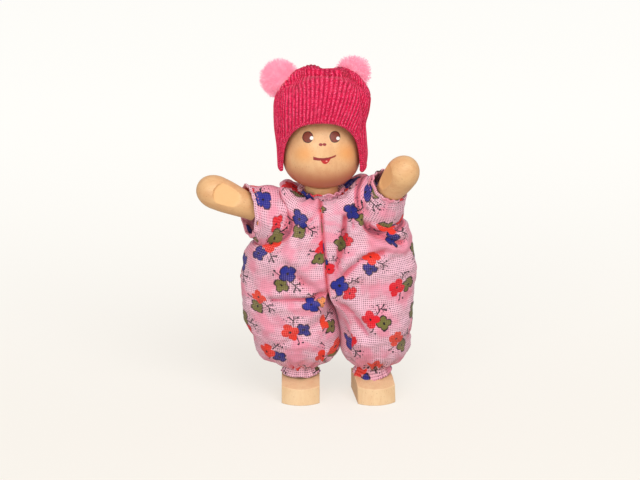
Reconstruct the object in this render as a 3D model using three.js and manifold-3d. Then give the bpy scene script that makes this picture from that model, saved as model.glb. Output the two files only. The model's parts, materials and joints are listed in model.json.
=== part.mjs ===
// Dollhouse baby doll, millimetres, +Z up, facing -Y.
// A turned wooden head, hands and feet sit on a short body dowel and on soft bendable cords.
// A puffy cotton romper covers the body, and a knitted cap with two pompoms lifts off the head.
// Left and right are the doll's own, so its left side is at +X.
// The origin is on the floor, under the middle of the doll's box.

import * as THREE from 'three';
import { mergeVertices } from 'three/addons/utils/BufferGeometryUtils.js';
import Module from 'manifold-3d';

const wasm = await Module();
wasm.setup();

// Clearances and walls
const GAP = 0.3;
const SWING_GAP = 0.35;
const CLOTH_WALL = 0.9;
const KNIT_WALL = 1.1;

// Body dowel, which is also the neck
const SPINE_X = -2.1;
const DOWEL_R = 4.6;
const SPIGOT_R = 2;
const SPIGOT_LENGTH = 8;
const DOWEL_CHAMFER = 0.5;
const LEG_SOCKET_DEPTH = 4;

// Hip axis, which runs along X; the heights above are measured from it
const HIP_Z = 32;
const HIP_R = 11;
const HIP_CLEARANCE = 0.9;
const DOWEL_BOTTOM_Z = HIP_Z + HIP_R + HIP_CLEARANCE;

// Head: a turned bead, wide and flat below, domed above
const HEAD_R = 10.75;
const HEAD_RING_RISE = 37.9;
const HEAD_RING_Z = HIP_Z + HEAD_RING_RISE;
const HEAD_DROP = 8.3;
const HEAD_RISE = 14;
const HEAD_SEAT_MARGIN = 0.5;
const HEAD_JAW_POWER = 2.2;
const HEAD_DOME_POWER = 2.3;

// Cords: cotton wound on soft wire
const ARM_CORD_R = 1.2;
const LEG_CORD_R = 1.5;
const LEG_CORD_STEPS = 14;
const SHOULDER_BEND_R = 1.5;

// The romper's collar and both shoulders hang under the head
const COLLAR_ROOM = 3.4;
const BODICE_RISE = HEAD_RING_RISE - HEAD_DROP - COLLAR_ROOM;

// Shoulders and arms; the left arm is held up and forwards, the right one out to the side
const SLEEVE_R = 7.3;
const SLEEVE_LENGTH = 8.2;
const SLEEVE_MOUTH_R = 6.5;
const SLEEVE_FULL_SHARE = 0.45;
const SLEEVE_GATHER_SHARE = 0.8;
const SLEEVE_HEM_LENGTH = 0.9;
const HAND_BULB_R = 4.65;
const HAND_BULB_REACH = 20.5;
const HAND_WRIST_R = 3.5;
const HAND_WRIST_REACH = 7.2;
const HAND_WRIST_LENGTH = 2.5;
const HAND_FLARE_R = 4;
const HAND_FLARE_REACH = 12.6;
const HAND_SHOULDER_R = 4.45;
const HAND_SHOULDER_SETBACK = 4.2;
const HAND_END_FLAT_R = 1;
const HAND_BORE_DEPTH = 6;
const PALM_FLAT_DEPTH = 1.1;
const PALM_FLAT_TURN_DEG = 18;
const RIGHT_SHOULDER_X = -14;
const RIGHT_SHOULDER_DROP = 6.7;
const RIGHT_SHOULDER_Z = HIP_Z + BODICE_RISE - RIGHT_SHOULDER_DROP;
const LEFT_SHOULDER_X = 12.5;
const LEFT_SHOULDER_DROP = 4.7;
const LEFT_SHOULDER_Z = HIP_Z + BODICE_RISE - LEFT_SHOULDER_DROP;
const ARM_POSES = {
  right: { side: -1, x: RIGHT_SHOULDER_X, z: RIGHT_SHOULDER_Z, raiseDeg: 26, sweepDeg: 6 },
  left: { side: 1, x: LEFT_SHOULDER_X, z: LEFT_SHOULDER_Z, raiseDeg: 50, sweepDeg: 52 },
};

// Legs
const HIP_ROUND_LENGTH = 6.5;
const CROTCH_HALF = 2.5;
const CROTCH_X = 0.5;
const FORK_REACH = 1.6;
const LEG_CORD_RUN_OUT = 1.6;
const LEG_CORD_BEND_X = 4.5;
const LEG_CORD_BEND_DROP = 3;
const LEG_CORD_STRAIGHT = 4;
const SOLE_TO_ANKLE = 5.8;
const HEM_CLEARANCE = 0.5;
const HEM_HEIGHT = 1.3;
const HEM_R = 5.3;
const CUFF_R = 4.5;
const CUFF_HEIGHT = 1;
const ELASTIC_INSET = 0.2;
const HEM_BOTTOM_Z = SOLE_TO_ANKLE + HEM_CLEARANCE;
const CUFF_BOTTOM_Z = HEM_BOTTOM_Z + HEM_HEIGHT + GAP;
const CUFF_TOP_Z = CUFF_BOTTOM_Z + CUFF_HEIGHT + GAP;
const GATHERS = 11;
const GATHER_DEPTH = 0.35;
const GATHERS_REACH = 9.6;
const CLOTH_POWER = 2.4;
const HIP_OUTER = 24.2;
const RIGHT_ANKLE_X = -7.9;
const LEFT_ANKLE_X = 12.1;
// Each leg's cloth under the hip, from the top: its height as a share of the hip's, its inner and
// outer edge as shares of the hip's outer edge, and its half depth as a share of the hip's radius.
// A ring with no inner edge of its own keeps the hip's, clear of the crotch piece.
const LEG_SHAPES = {
  right: {
    side: -1,
    ankleX: RIGHT_ANKLE_X,
    toeOutDeg: 0,
    hipInner: CROTCH_X - CROTCH_HALF - SWING_GAP,
    rings: [
      { high: 0.8125, outer: -1, deep: 1 },
      { high: 0.644, outer: -0.967, deep: 0.982 },
      { high: 0.55, inner: 0.045, outer: -0.917, deep: 0.936 },
      { high: 0.419, inner: 0.066, outer: -0.86, deep: 0.836 },
      { high: 0.3375, inner: -0.025, outer: -0.727, deep: 0.655 },
    ],
  },
  left: {
    side: 1,
    ankleX: LEFT_ANKLE_X,
    toeOutDeg: 8,
    hipInner: CROTCH_X + CROTCH_HALF + SWING_GAP,
    rings: [
      { high: 0.8125, outer: 1, deep: 1 },
      { high: 0.644, outer: 0.967, deep: 0.982 },
      { high: 0.55, inner: 0.1, outer: 0.934, deep: 0.936 },
      { high: 0.419, inner: 0.11, outer: 0.893, deep: 0.836 },
      { high: 0.3375, inner: 0.207, outer: 0.802, deep: 0.655 },
    ],
  },
};

// Feet: sawn blocks with a rounded toe and a sloping instep
const FOOT_WIDTH = 10.6;
const FOOT_TOE_REACH = 11;
const FOOT_HEEL_REACH = 4.6;
const FOOT_TOE_R = 7.6;
const FOOT_CREASE_Z = 4.5;
const FOOT_CREASE_REACH = 10.2;
const FOOT_TOP_REACH = 3.6;
const FOOT_BORE_DEPTH = 3.6;

// Romper body around the dowel, from the bottom: height over the hip, half width and half depth, as
// shares of the three lengths; over the hips it leans to the dowel
const BODICE_HALF = 22.6;
const BODICE_DEPTH = 11;
const SEAT_RISE = 6.5;
const LEAN_RISE = 25.9;
const BODICE_SHAPE = [
  { rise: -0.115, half: 1, depth: 1 },
  { rise: 0.435, half: 1, depth: 1 },
  { rise: 0.504, half: 0.905, depth: 0.99 },
  { rise: 0.61, half: 0.775, depth: 0.965 },
  { rise: 0.725, half: 0.66, depth: 0.91 },
  { rise: 0.878, half: 0.575, depth: 0.79 },
  { rise: 1, half: 0.42, depth: 0.62 },
];
const BODICE_RINGS = BODICE_SHAPE.map(({ rise, half, depth }) => ({
  z: HIP_Z + rise * BODICE_RISE,
  half: half * BODICE_HALF,
  depth: depth * BODICE_DEPTH,
}));
const NECK_BAND_HEIGHT = 1.6;
const NECK_BAND_WALL = 1.1;

// Knitted cap, from the bottom: height over the head's widest ring as a share of the head's rise,
// half width and half depth as shares of its radius
const CAP_SHAPE = [
  { rise: -0.21, half: 1.135, depth: 1.126 },
  { rise: 0.143, half: 1.154, depth: 1.13 },
  { rise: 0.679, half: 1.191, depth: 1.065 },
  { rise: 1.186, half: 1.219, depth: 0.995 },
  { rise: 1.457, half: 1.14, depth: 0.87 },
  { rise: 1.65, half: 0.96, depth: 0.62 },
  { rise: 1.757, half: 0.763, depth: 0.34 },
];
const CAP_RINGS = CAP_SHAPE.map(({ rise, half, depth }) => ({
  z: rise * HEAD_RISE,
  half: half * HEAD_R,
  depth: depth * HEAD_R,
}));
const CAP_POWER = 2.15;
const CAP_FACE_TOP_Z = 13.3;
const CAP_FACE_HALF = 10.8;
const CAP_FACE_BACK_REACH = 1.6;
const CAP_FACE_POWER = 2.9;
const CAP_SEAM_HALF = 6.4;
const CAP_SEAM_R = 0.8;
const POMPOM_R = 4.8;
// Places of the pompoms from the head's axis and ring, as shares of its radius and rise
const POMPOMS = {
  right: { x: -1.126 * HEAD_R, y: 0.242 * HEAD_R, z: 1.571 * HEAD_RISE },
  left: { x: 0.874 * HEAD_R, y: 0.242 * HEAD_R, z: 1.714 * HEAD_RISE },
};

// Longer than the doll, for cutting and for keeping one side
const BEYOND = 120;

// Facets round each turned shape
const FINE = 32;
const MEDIUM = 24;
const COARSE = 12;

// Materials
const WOOD = new THREE.MeshStandardMaterial({ color: 0xe6b886, roughness: 0.6, metalness: 0 });
const FACE_WOOD = new THREE.MeshStandardMaterial({ color: 0xe3ab7b, roughness: 0.45, metalness: 0 });
const ROMPER_COTTON = new THREE.MeshStandardMaterial({ color: 0xf0a4b8, roughness: 0.95, metalness: 0 });
const CAP_KNIT = new THREE.MeshStandardMaterial({ color: 0xde385d, roughness: 0.95, metalness: 0 });
const POMPOM_WOOL = new THREE.MeshStandardMaterial({ color: 0xf98fa5, roughness: 1, metalness: 0 });
const CORD_COTTON = new THREE.MeshStandardMaterial({ color: 0xe9d9bd, roughness: 0.95, metalness: 0 });
const ELASTIC = new THREE.MeshStandardMaterial({ color: 0xd98096, roughness: 0.9, metalness: 0 });

const radians = THREE.MathUtils.degToRad;

// A closed mesh as a solid that can be joined and cut
function solidOf(geometry) {
  const bare = geometry.index ? geometry.toNonIndexed() : geometry.clone();
  for (const name of Object.keys(bare.attributes)) {
    if (name !== 'position') bare.deleteAttribute(name);
  }
  const merged = mergeVertices(bare, 1e-4);
  return new wasm.Manifold(new wasm.Mesh({
    numProp: 3,
    vertProperties: new Float32Array(merged.attributes.position.array),
    triVerts: new Uint32Array(merged.index.array),
  }));
}

// A solid's faces as a geometry again
function geometryOf(solid) {
  const mesh = solid.getMesh();
  const geometry = new THREE.BufferGeometry();
  geometry.setAttribute('position', new THREE.BufferAttribute(mesh.vertProperties, 3));
  geometry.setIndex(new THREE.BufferAttribute(mesh.triVerts, 1));
  geometry.computeVertexNormals();
  return geometry;
}

// A closed surface through rings of points, from the lowest ring to the highest
function loft(rings) {
  const points = rings.flat();
  const count = rings[0].length;
  const faces = [];
  for (let level = 0; level < rings.length - 1; level += 1) {
    for (let step = 0; step < count; step += 1) {
      const a = level * count + step;
      const b = level * count + (step + 1) % count;
      faces.push(a, b, b + count, a, b + count, a + count);
    }
  }
  const middle = (ring) => ring.reduce((sum, point) => sum.add(point), new THREE.Vector3())
    .divideScalar(ring.length);
  const bottom = points.push(middle(rings[0])) - 1;
  const top = points.push(middle(rings[rings.length - 1])) - 1;
  const last = (rings.length - 1) * count;
  for (let step = 0; step < count; step += 1) {
    const next = (step + 1) % count;
    faces.push(bottom, next, step, top, last + step, last + next);
  }
  const geometry = new THREE.BufferGeometry();
  const flat = points.flatMap((point) => [point.x, point.y, point.z]);
  geometry.setAttribute('position', new THREE.Float32BufferAttribute(flat, 3));
  geometry.setIndex(faces);
  return geometry;
}

// One ring of a rounded-square outline; gathers add shallow flutes round it
function roundRing({ x = 0, y = 0, z, half, depth, power = 2.3, count = MEDIUM, gathers = 0 }) {
  const ring = [];
  for (let step = 0; step < count; step += 1) {
    const angle = 2 * Math.PI * step / count;
    const c = Math.cos(angle);
    const s = Math.sin(angle);
    const flute = gathers * Math.cos(GATHERS * angle);
    ring.push(new THREE.Vector3(
      x + Math.sign(c) * Math.abs(c) ** (2 / power) * (half + flute),
      y + Math.sign(s) * Math.abs(s) ** (2 / power) * (depth + flute),
      z,
    ));
  }
  return ring;
}

// A turned shape round the Z axis from [radius, height] pairs that start and end on the axis
function turned(profile, segments = MEDIUM) {
  const points = profile.map(([radius, height]) => new THREE.Vector2(radius, height));
  return new THREE.LatheGeometry(points, segments).rotateX(Math.PI / 2);
}

// A plain round bar along Z
function bar(radius, low, high, segments = COARSE) {
  return turned([[0, low], [radius, low], [radius, high], [0, high]], segments);
}

// A cord: a round section drawn along a curve
function cordAlong(curve, radius, steps) {
  const section = new THREE.Shape();
  for (let step = 0; step < 8; step += 1) {
    const angle = 2 * Math.PI * step / 8;
    const x = radius * Math.cos(angle);
    const y = radius * Math.sin(angle);
    if (step === 0) section.moveTo(x, y);
    else section.lineTo(x, y);
  }
  section.closePath();
  return new THREE.ExtrudeGeometry(section, { steps, extrudePath: curve, bevelEnabled: false });
}

function place(group, name, geometry, material) {
  const mesh = new THREE.Mesh(geometry, material);
  mesh.name = name;
  group.add(mesh);
  return mesh;
}

// Radius of the head at a height over its widest ring
function headRadius(height) {
  const reach = height < 0 ? HEAD_DROP : HEAD_RISE;
  const power = height < 0 ? HEAD_JAW_POWER : HEAD_DOME_POWER;
  const share = Math.min(1, Math.abs(height) / reach);
  return HEAD_R * (1 - share ** power) ** (1 / power);
}

// Height of the head's flat seat, where its radius has shrunk to just over the neck's
const seatShare = (DOWEL_R + HEAD_SEAT_MARGIN) / HEAD_R;
const HEAD_SEAT = -HEAD_DROP * (1 - seatShare ** HEAD_JAW_POWER) ** (1 / HEAD_JAW_POWER);
const NECK_TOP_Z = HEAD_RING_Z + HEAD_SEAT - GAP;

function makeHead() {
  const profile = [[0, HEAD_SEAT], [headRadius(HEAD_SEAT), HEAD_SEAT]];
  const steps = 18;
  for (let step = 1; step < steps; step += 1) {
    const turn = -Math.PI / 2 + Math.PI * step / steps;
    const height = Math.sin(turn) * (turn < 0 ? HEAD_DROP : HEAD_RISE);
    if (height > HEAD_SEAT + GAP) profile.push([headRadius(height), height]);
  }
  profile.push([0, HEAD_RISE]);
  const boreTop = HEAD_SEAT + SPIGOT_LENGTH + GAP;
  const bore = bar(SPIGOT_R + GAP, HEAD_SEAT - GAP, boreTop);
  return geometryOf(solidOf(turned(profile, FINE)).subtract(solidOf(bore)));
}

// The dowel has a cross hole for the arm cord and a hole up its lower end for the leg cord
function makeDowel() {
  const top = NECK_TOP_Z;
  const profile = [
    [0, DOWEL_BOTTOM_Z],
    [DOWEL_R - DOWEL_CHAMFER, DOWEL_BOTTOM_Z],
    [DOWEL_R, DOWEL_BOTTOM_Z + DOWEL_CHAMFER],
    [DOWEL_R, top],
    [SPIGOT_R, top],
    [SPIGOT_R, top + SPIGOT_LENGTH],
    [0, top + SPIGOT_LENGTH],
  ];
  const dowel = solidOf(turned(profile, MEDIUM).translate(SPINE_X, 0, 0));
  const crossHole = solidOf(cordAlong(shoulderCordPath(2), ARM_CORD_R + GAP, 1));
  const socketTop = DOWEL_BOTTOM_Z + LEG_SOCKET_DEPTH;
  const socket = solidOf(bar(LEG_CORD_R + GAP, DOWEL_BOTTOM_Z - GAP, socketTop)
    .translate(CROTCH_X, 0, 0));
  return geometryOf(dowel.subtract(crossHole).subtract(socket));
}

// The arm cord's middle stretch, from one shoulder bend to the other
function shoulderCordPath(extra = 0) {
  const { right, left } = ARM_POSES;
  const stop = SHOULDER_BEND_R + GAP - extra;
  const start = new THREE.Vector3(right.x, 0, right.z);
  const end = new THREE.Vector3(left.x, 0, left.z);
  const along = end.clone().sub(start).normalize();
  start.addScaledVector(along, stop);
  end.addScaledVector(along, -stop);
  return new THREE.LineCurve3(start, end);
}

// The leg cord's middle: down out of the dowel, then out to both hips
function makeLegCordFork() {
  const top = DOWEL_BOTTOM_Z + LEG_SOCKET_DEPTH - GAP;
  const reach = CROTCH_HALF + FORK_REACH;
  const stem = solidOf(bar(LEG_CORD_R, HIP_Z, top).translate(CROTCH_X, 0, 0));
  const cross = solidOf(bar(LEG_CORD_R, -reach, reach).rotateY(Math.PI / 2)
    .translate(CROTCH_X, 0, HIP_Z));
  return geometryOf(stem.add(cross));
}

// The romper's body cloth, before it is cut into its panels
function makeBodice() {
  const rings = BODICE_RINGS.map(({ z, half, depth }) => {
    const lean = SPINE_X * THREE.MathUtils.smoothstep(z, HIP_Z, HIP_Z + LEAN_RISE);
    return roundRing({ x: lean, z, half, depth, power: CLOTH_POWER, count: FINE });
  });
  const envelope = solidOf(loft(rings));
  const waistZ = HIP_Z + HIP_R + SWING_GAP;
  const upper = envelope.intersect(
    solidOf(new THREE.BoxGeometry(BEYOND, BEYOND, BEYOND).translate(0, 0, waistZ + BEYOND / 2)),
  );
  const strip = envelope.intersect(
    solidOf(new THREE.BoxGeometry(2 * CROTCH_HALF, BEYOND, BEYOND)
      .translate(CROTCH_X, 0, HIP_Z + BEYOND / 2)),
  );
  const crotch = solidOf(bar(HIP_R - GAP, -CROTCH_HALF, CROTCH_HALF, FINE)
    .rotateY(Math.PI / 2).translate(CROTCH_X, 0, HIP_Z));
  // At the back the cloth hangs down over the turning hips as far as the legs' swing allows
  const seatZ = HIP_Z + SEAT_RISE;
  const hips = solidOf(bar(HIP_R + SWING_GAP, -BEYOND, BEYOND, FINE).rotateY(Math.PI / 2)
    .translate(0, 0, HIP_Z));
  const seat = envelope
    .intersect(solidOf(new THREE.BoxGeometry(BEYOND, BEYOND, BEYOND)
      .translate(0, BEYOND / 2, seatZ + BEYOND / 2)))
    .subtract(hips);
  let body = upper.add(strip).add(crotch).add(seat);
  body = body.subtract(solidOf(bar(DOWEL_R + GAP, DOWEL_BOTTOM_Z - GAP, BEYOND, MEDIUM)
    .translate(SPINE_X, 0, 0)));
  body = body.subtract(solidOf(bar(LEG_CORD_R + GAP, HIP_Z, BEYOND).translate(CROTCH_X, 0, 0)));
  body = body.subtract(solidOf(bar(LEG_CORD_R + GAP, -BEYOND, BEYOND).rotateY(Math.PI / 2)
    .translate(0, 0, HIP_Z)));
  body = body.subtract(solidOf(cordAlong(shoulderCordPath(2), ARM_CORD_R + GAP, 1)));
  for (const arm of Object.values(ARM_POSES)) body = body.subtract(sleeveRoom(arm));
  return body;
}

// The space that one arm's sleeve takes, with its clearance, so that the armhole fits round it
function sleeveRoom(arm) {
  const tube = bar(SLEEVE_R + SWING_GAP, -SWING_GAP, HAND_BULB_REACH, MEDIUM);
  const bend = new THREE.SphereGeometry(SHOULDER_BEND_R + GAP, COARSE, COARSE);
  const room = solidOf(tube.rotateY(arm.side * Math.PI / 2)).add(solidOf(bend));
  const turn = new THREE.Matrix4().makeRotationZ(-arm.side * radians(arm.sweepDeg))
    .multiply(new THREE.Matrix4().makeRotationY(-arm.side * radians(arm.raiseDeg)));
  turn.setPosition(arm.x, 0, arm.z);
  return room.transform(turn.elements);
}

// Front halves and the back are cut from one body with a seam's width between them
function bodicePanels() {
  const body = makeBodice();
  const keep = (x, y) => solidOf(new THREE.BoxGeometry(BEYOND, BEYOND, 2 * BEYOND)
    .translate(CROTCH_X + x, y, 0));
  const half = BEYOND / 2;
  const seam = GAP / 2;
  return {
    romper_front_right: body.intersect(keep(-half - seam, -half - seam)),
    romper_front_left: body.intersect(keep(half + seam, -half - seam)),
    romper_back: body.intersect(keep(0, half + seam)),
  };
}

// The sleeve is a short puffed tube, open at both ends
function makeSleeve(side) {
  const inner = SLEEVE_R - CLOTH_WALL;
  const profile = [
    [SLEEVE_R, 0],
    [SLEEVE_R, SLEEVE_LENGTH * SLEEVE_FULL_SHARE],
    [(SLEEVE_R + SLEEVE_MOUTH_R) / 2, SLEEVE_LENGTH * SLEEVE_GATHER_SHARE],
    [SLEEVE_MOUTH_R, SLEEVE_LENGTH],
    [SLEEVE_MOUTH_R - CLOTH_WALL, SLEEVE_LENGTH],
    [inner, SLEEVE_LENGTH * SLEEVE_FULL_SHARE],
    [inner, 0],
    [SLEEVE_R, 0],
  ];
  return turned(profile, MEDIUM).rotateY(side * Math.PI / 2);
}

function makeSleeveHem(side) {
  const low = SLEEVE_LENGTH + GAP;
  const high = low + SLEEVE_HEM_LENGTH;
  const outer = SLEEVE_MOUTH_R;
  const inner = SLEEVE_MOUTH_R - CLOTH_WALL;
  const profile = [[inner, low], [outer, low], [outer, high], [inner, high], [inner, low]];
  return turned(profile, MEDIUM).rotateY(side * Math.PI / 2);
}

// A turned drumstick shape with a flat cut on the palm and a blind hole for the cord
function makeHand(side) {
  const tip = HAND_BULB_REACH + HAND_BULB_R;
  const profile = [
    [0, HAND_WRIST_REACH],
    [HAND_WRIST_R, HAND_WRIST_REACH],
    [HAND_WRIST_R, HAND_WRIST_REACH + HAND_WRIST_LENGTH],
    [HAND_FLARE_R, HAND_FLARE_REACH],
    [HAND_SHOULDER_R, HAND_BULB_REACH - HAND_SHOULDER_SETBACK],
  ];
  for (const turn of [-12, 5, 22, 39, 54, 68]) {
    profile.push([
      HAND_BULB_R * Math.cos(radians(turn)),
      HAND_BULB_REACH + HAND_BULB_R * Math.sin(radians(turn)),
    ]);
  }
  profile.push([HAND_END_FLAT_R, tip], [0, tip]);
  let hand = solidOf(turned(profile, MEDIUM).rotateY(side * Math.PI / 2));
  const size = 4 * HAND_BULB_R;
  const flat = new THREE.BoxGeometry(size, size, size);
  flat.translate(side * HAND_BULB_REACH, -(HAND_BULB_R - PALM_FLAT_DEPTH) - size / 2, 0);
  flat.rotateX(-radians(PALM_FLAT_TURN_DEG));
  hand = hand.subtract(solidOf(flat));
  const bore = bar(ARM_CORD_R + GAP, HAND_WRIST_REACH - GAP, HAND_WRIST_REACH + HAND_BORE_DEPTH);
  return geometryOf(hand.subtract(solidOf(bore.rotateY(side * Math.PI / 2))));
}

function makeArmCord(side) {
  const start = SHOULDER_BEND_R + GAP;
  const end = HAND_WRIST_REACH + HAND_BORE_DEPTH - GAP;
  return bar(ARM_CORD_R, start, end).rotateY(side * Math.PI / 2);
}

// The round top of a leg's cloth, turned about the hip axis so that it can swing in place
function hipDrum(leg) {
  const inner = Math.abs(leg.hipInner);
  const roundStart = HIP_OUTER - HIP_ROUND_LENGTH;
  const profile = [[0, inner], [HIP_R, inner]];
  const steps = 5;
  for (let step = 0; step <= steps; step += 1) {
    const angle = Math.PI / 2 * step / steps;
    profile.push([
      HIP_R * Math.cos(angle) ** (2 / CLOTH_POWER),
      roundStart + HIP_ROUND_LENGTH * Math.sin(angle) ** (2 / CLOTH_POWER),
    ]);
  }
  profile[profile.length - 1][0] = 0;
  return solidOf(turned(profile, FINE).rotateY(leg.side * Math.PI / 2).translate(0, 0, HIP_Z));
}

// A leg's cloth from the hip down to the gathered ankle
function legTube(leg) {
  const rings = [
    { z: CUFF_TOP_Z, x: leg.ankleX, half: CUFF_R, depth: CUFF_R, power: 2, gathers: GATHER_DEPTH / 2 },
  ];
  const hip = { high: 1, outer: leg.side, deep: 1 };
  for (const ring of [hip, ...leg.rings].reverse()) {
    const z = ring.high * HIP_Z;
    const outer = ring.outer * HIP_OUTER;
    const inner = ring.inner === undefined ? leg.hipInner : ring.inner * HIP_OUTER;
    rings.push({
      z,
      x: (inner + outer) / 2,
      half: Math.abs(outer - inner) / 2,
      depth: ring.deep * HIP_R,
      power: CLOTH_POWER,
      gathers: GATHER_DEPTH * (1 - THREE.MathUtils.smoothstep(z, CUFF_TOP_Z, CUFF_TOP_Z + GATHERS_REACH)),
    });
  }
  return solidOf(loft(rings.map((ring) => roundRing({ ...ring, count: 4 * GATHERS }))));
}

// The puffed leg has one bore along its cord, and a wider one where it turns about the fork's end
function makeRomperLeg(leg) {
  const puff = hipDrum(leg).add(legTube(leg));
  const cordBore = solidOf(cordAlong(legCordPath(leg), LEG_CORD_R + GAP, LEG_CORD_STEPS));
  const turnEnd = CROTCH_X + leg.side * (CROTCH_HALF + FORK_REACH + 2 * GAP);
  const turnBore = solidOf(bar(LEG_CORD_R + 2 * GAP, 0, Math.abs(turnEnd))
    .rotateY(leg.side * Math.PI / 2).translate(0, 0, HIP_Z));
  return geometryOf(puff.subtract(cordBore).subtract(turnBore));
}

// The bendable leg cord's route: out along the hip axis, then down into the foot
function legCordPath(leg) {
  const start = CROTCH_X + leg.side * (CROTCH_HALF + FORK_REACH + GAP);
  const footTop = SOLE_TO_ANKLE - FOOT_BORE_DEPTH + GAP;
  const hipX = start + leg.side * LEG_CORD_BEND_X;
  return new THREE.CatmullRomCurve3([
    new THREE.Vector3(start, 0, HIP_Z),
    new THREE.Vector3(start + leg.side * LEG_CORD_RUN_OUT, 0, HIP_Z),
    new THREE.Vector3(hipX, 0, HIP_Z - LEG_CORD_BEND_DROP),
    new THREE.Vector3((hipX + leg.ankleX) / 2, 0, (HIP_Z + SOLE_TO_ANKLE) / 2),
    new THREE.Vector3(leg.ankleX, 0, SOLE_TO_ANKLE + LEG_CORD_STRAIGHT),
    new THREE.Vector3(leg.ankleX, 0, footTop),
  ]);
}

function ringBand(inner, outer, low, high) {
  return turned([[inner, low], [outer, low], [outer, high], [inner, high], [inner, low]]);
}

// The trouser hem is a short frill that flares under the elastic
function makeHem(leg) {
  const rings = [];
  const inside = CUFF_R - CLOTH_WALL;
  const outside = [
    { z: HEM_BOTTOM_Z, half: HEM_R },
    { z: HEM_BOTTOM_Z + HEM_HEIGHT, half: CUFF_R },
  ];
  for (const { z, half } of outside) {
    rings.push(roundRing({
      z, half, depth: half, power: 2, count: 4 * GATHERS, gathers: GATHER_DEPTH / 2,
    }));
  }
  const hole = bar(inside, HEM_BOTTOM_Z - GAP, HEM_BOTTOM_Z + HEM_HEIGHT + GAP, MEDIUM);
  const hem = solidOf(loft(rings)).subtract(solidOf(hole));
  return geometryOf(hem).translate(leg.ankleX, 0, 0);
}

// Foot outline seen from above, toe towards -Y, centred on the ankle
function footPlan() {
  const half = FOOT_WIDTH / 2;
  const shape = new THREE.Shape();
  const toeAngle = Math.asin(half / FOOT_TOE_R);
  const toeCentre = -FOOT_TOE_REACH + FOOT_TOE_R;
  shape.moveTo(half, FOOT_HEEL_REACH);
  shape.lineTo(-half, FOOT_HEEL_REACH);
  for (let step = 0; step <= 8; step += 1) {
    const angle = THREE.MathUtils.lerp(-toeAngle, toeAngle, step / 8);
    shape.lineTo(FOOT_TOE_R * Math.sin(angle), toeCentre - FOOT_TOE_R * Math.cos(angle));
  }
  shape.closePath();
  return shape;
}

// The side view cuts the plan block: a steep front, a crease, and an instep that rises to the ankle
function makeFoot() {
  const plan = new THREE.ExtrudeGeometry(footPlan(), { depth: SOLE_TO_ANKLE, bevelEnabled: false });
  const side = new THREE.Shape();
  const over = 2 * SOLE_TO_ANKLE;
  const past = 2 * FOOT_TOE_REACH;
  side.moveTo(-past, 0);
  side.lineTo(-FOOT_TOE_REACH, 0);
  side.lineTo(-FOOT_CREASE_REACH, FOOT_CREASE_Z);
  side.lineTo(-FOOT_TOP_REACH, SOLE_TO_ANKLE);
  side.lineTo(-FOOT_TOP_REACH, over);
  side.lineTo(-past, over);
  side.closePath();
  const cutter = new THREE.ExtrudeGeometry(side, { depth: 2 * FOOT_WIDTH, bevelEnabled: false })
    .translate(0, 0, -FOOT_WIDTH);
  const turn = new THREE.Matrix4().makeBasis(
    new THREE.Vector3(0, 1, 0),
    new THREE.Vector3(0, 0, 1),
    new THREE.Vector3(1, 0, 0),
  );
  cutter.applyMatrix4(turn);
  const bore = bar(LEG_CORD_R + GAP, SOLE_TO_ANKLE - FOOT_BORE_DEPTH, SOLE_TO_ANKLE + GAP);
  return geometryOf(solidOf(plan).subtract(solidOf(cutter)).subtract(solidOf(bore)));
}

// The knitted cap: a hollow barrel with a flat seam on top and an arched opening for the face
function makeCap() {
  const outsideRings = CAP_RINGS.map((ring) => roundRing({ ...ring, count: FINE, power: CAP_POWER }));
  const outside = solidOf(loft(outsideRings));
  const insideRings = CAP_RINGS.slice(0, -1).map(({ z, half, depth }, level) => roundRing({
    z: level === 0 ? z - 1 : z - KNIT_WALL * (level / CAP_RINGS.length),
    half: half - KNIT_WALL,
    depth: depth - KNIT_WALL,
    count: FINE,
    power: CAP_POWER,
  }));
  const face = new THREE.Shape();
  const bottom = CAP_RINGS[0].z - KNIT_WALL;
  face.moveTo(CAP_FACE_HALF, bottom);
  const steps = 12;
  for (let step = 0; step <= steps; step += 1) {
    const angle = Math.PI * step / steps;
    face.lineTo(
      CAP_FACE_HALF * Math.sign(Math.cos(angle)) * Math.abs(Math.cos(angle)) ** (2 / CAP_FACE_POWER),
      CAP_FACE_TOP_Z * Math.sin(angle) ** (2 / CAP_FACE_POWER),
    );
  }
  face.lineTo(-CAP_FACE_HALF, bottom);
  face.closePath();
  const cutter = new THREE.ExtrudeGeometry(face, { depth: 2 * HEAD_R, bevelEnabled: false })
    .rotateX(Math.PI / 2).translate(0, -CAP_FACE_BACK_REACH, 0);
  return geometryOf(outside.subtract(solidOf(loft(insideRings))).subtract(solidOf(cutter)));
}

const CAP_SEAM_Z = CAP_RINGS[CAP_RINGS.length - 1].z + GAP;

function makeCapSeam() {
  const profile = [
    [0, -CAP_SEAM_HALF],
    [CAP_SEAM_R, -CAP_SEAM_HALF + CAP_SEAM_R],
    [CAP_SEAM_R, CAP_SEAM_HALF - CAP_SEAM_R],
    [0, CAP_SEAM_HALF],
  ];
  const ridge = solidOf(turned(profile, COARSE).rotateY(Math.PI / 2));
  const over = solidOf(new THREE.BoxGeometry(4 * CAP_SEAM_HALF, 4 * CAP_SEAM_R, 2 * CAP_SEAM_R)
    .translate(0, 0, CAP_SEAM_R));
  return geometryOf(ridge.intersect(over)).translate(0, 0, CAP_SEAM_Z);
}

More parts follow.
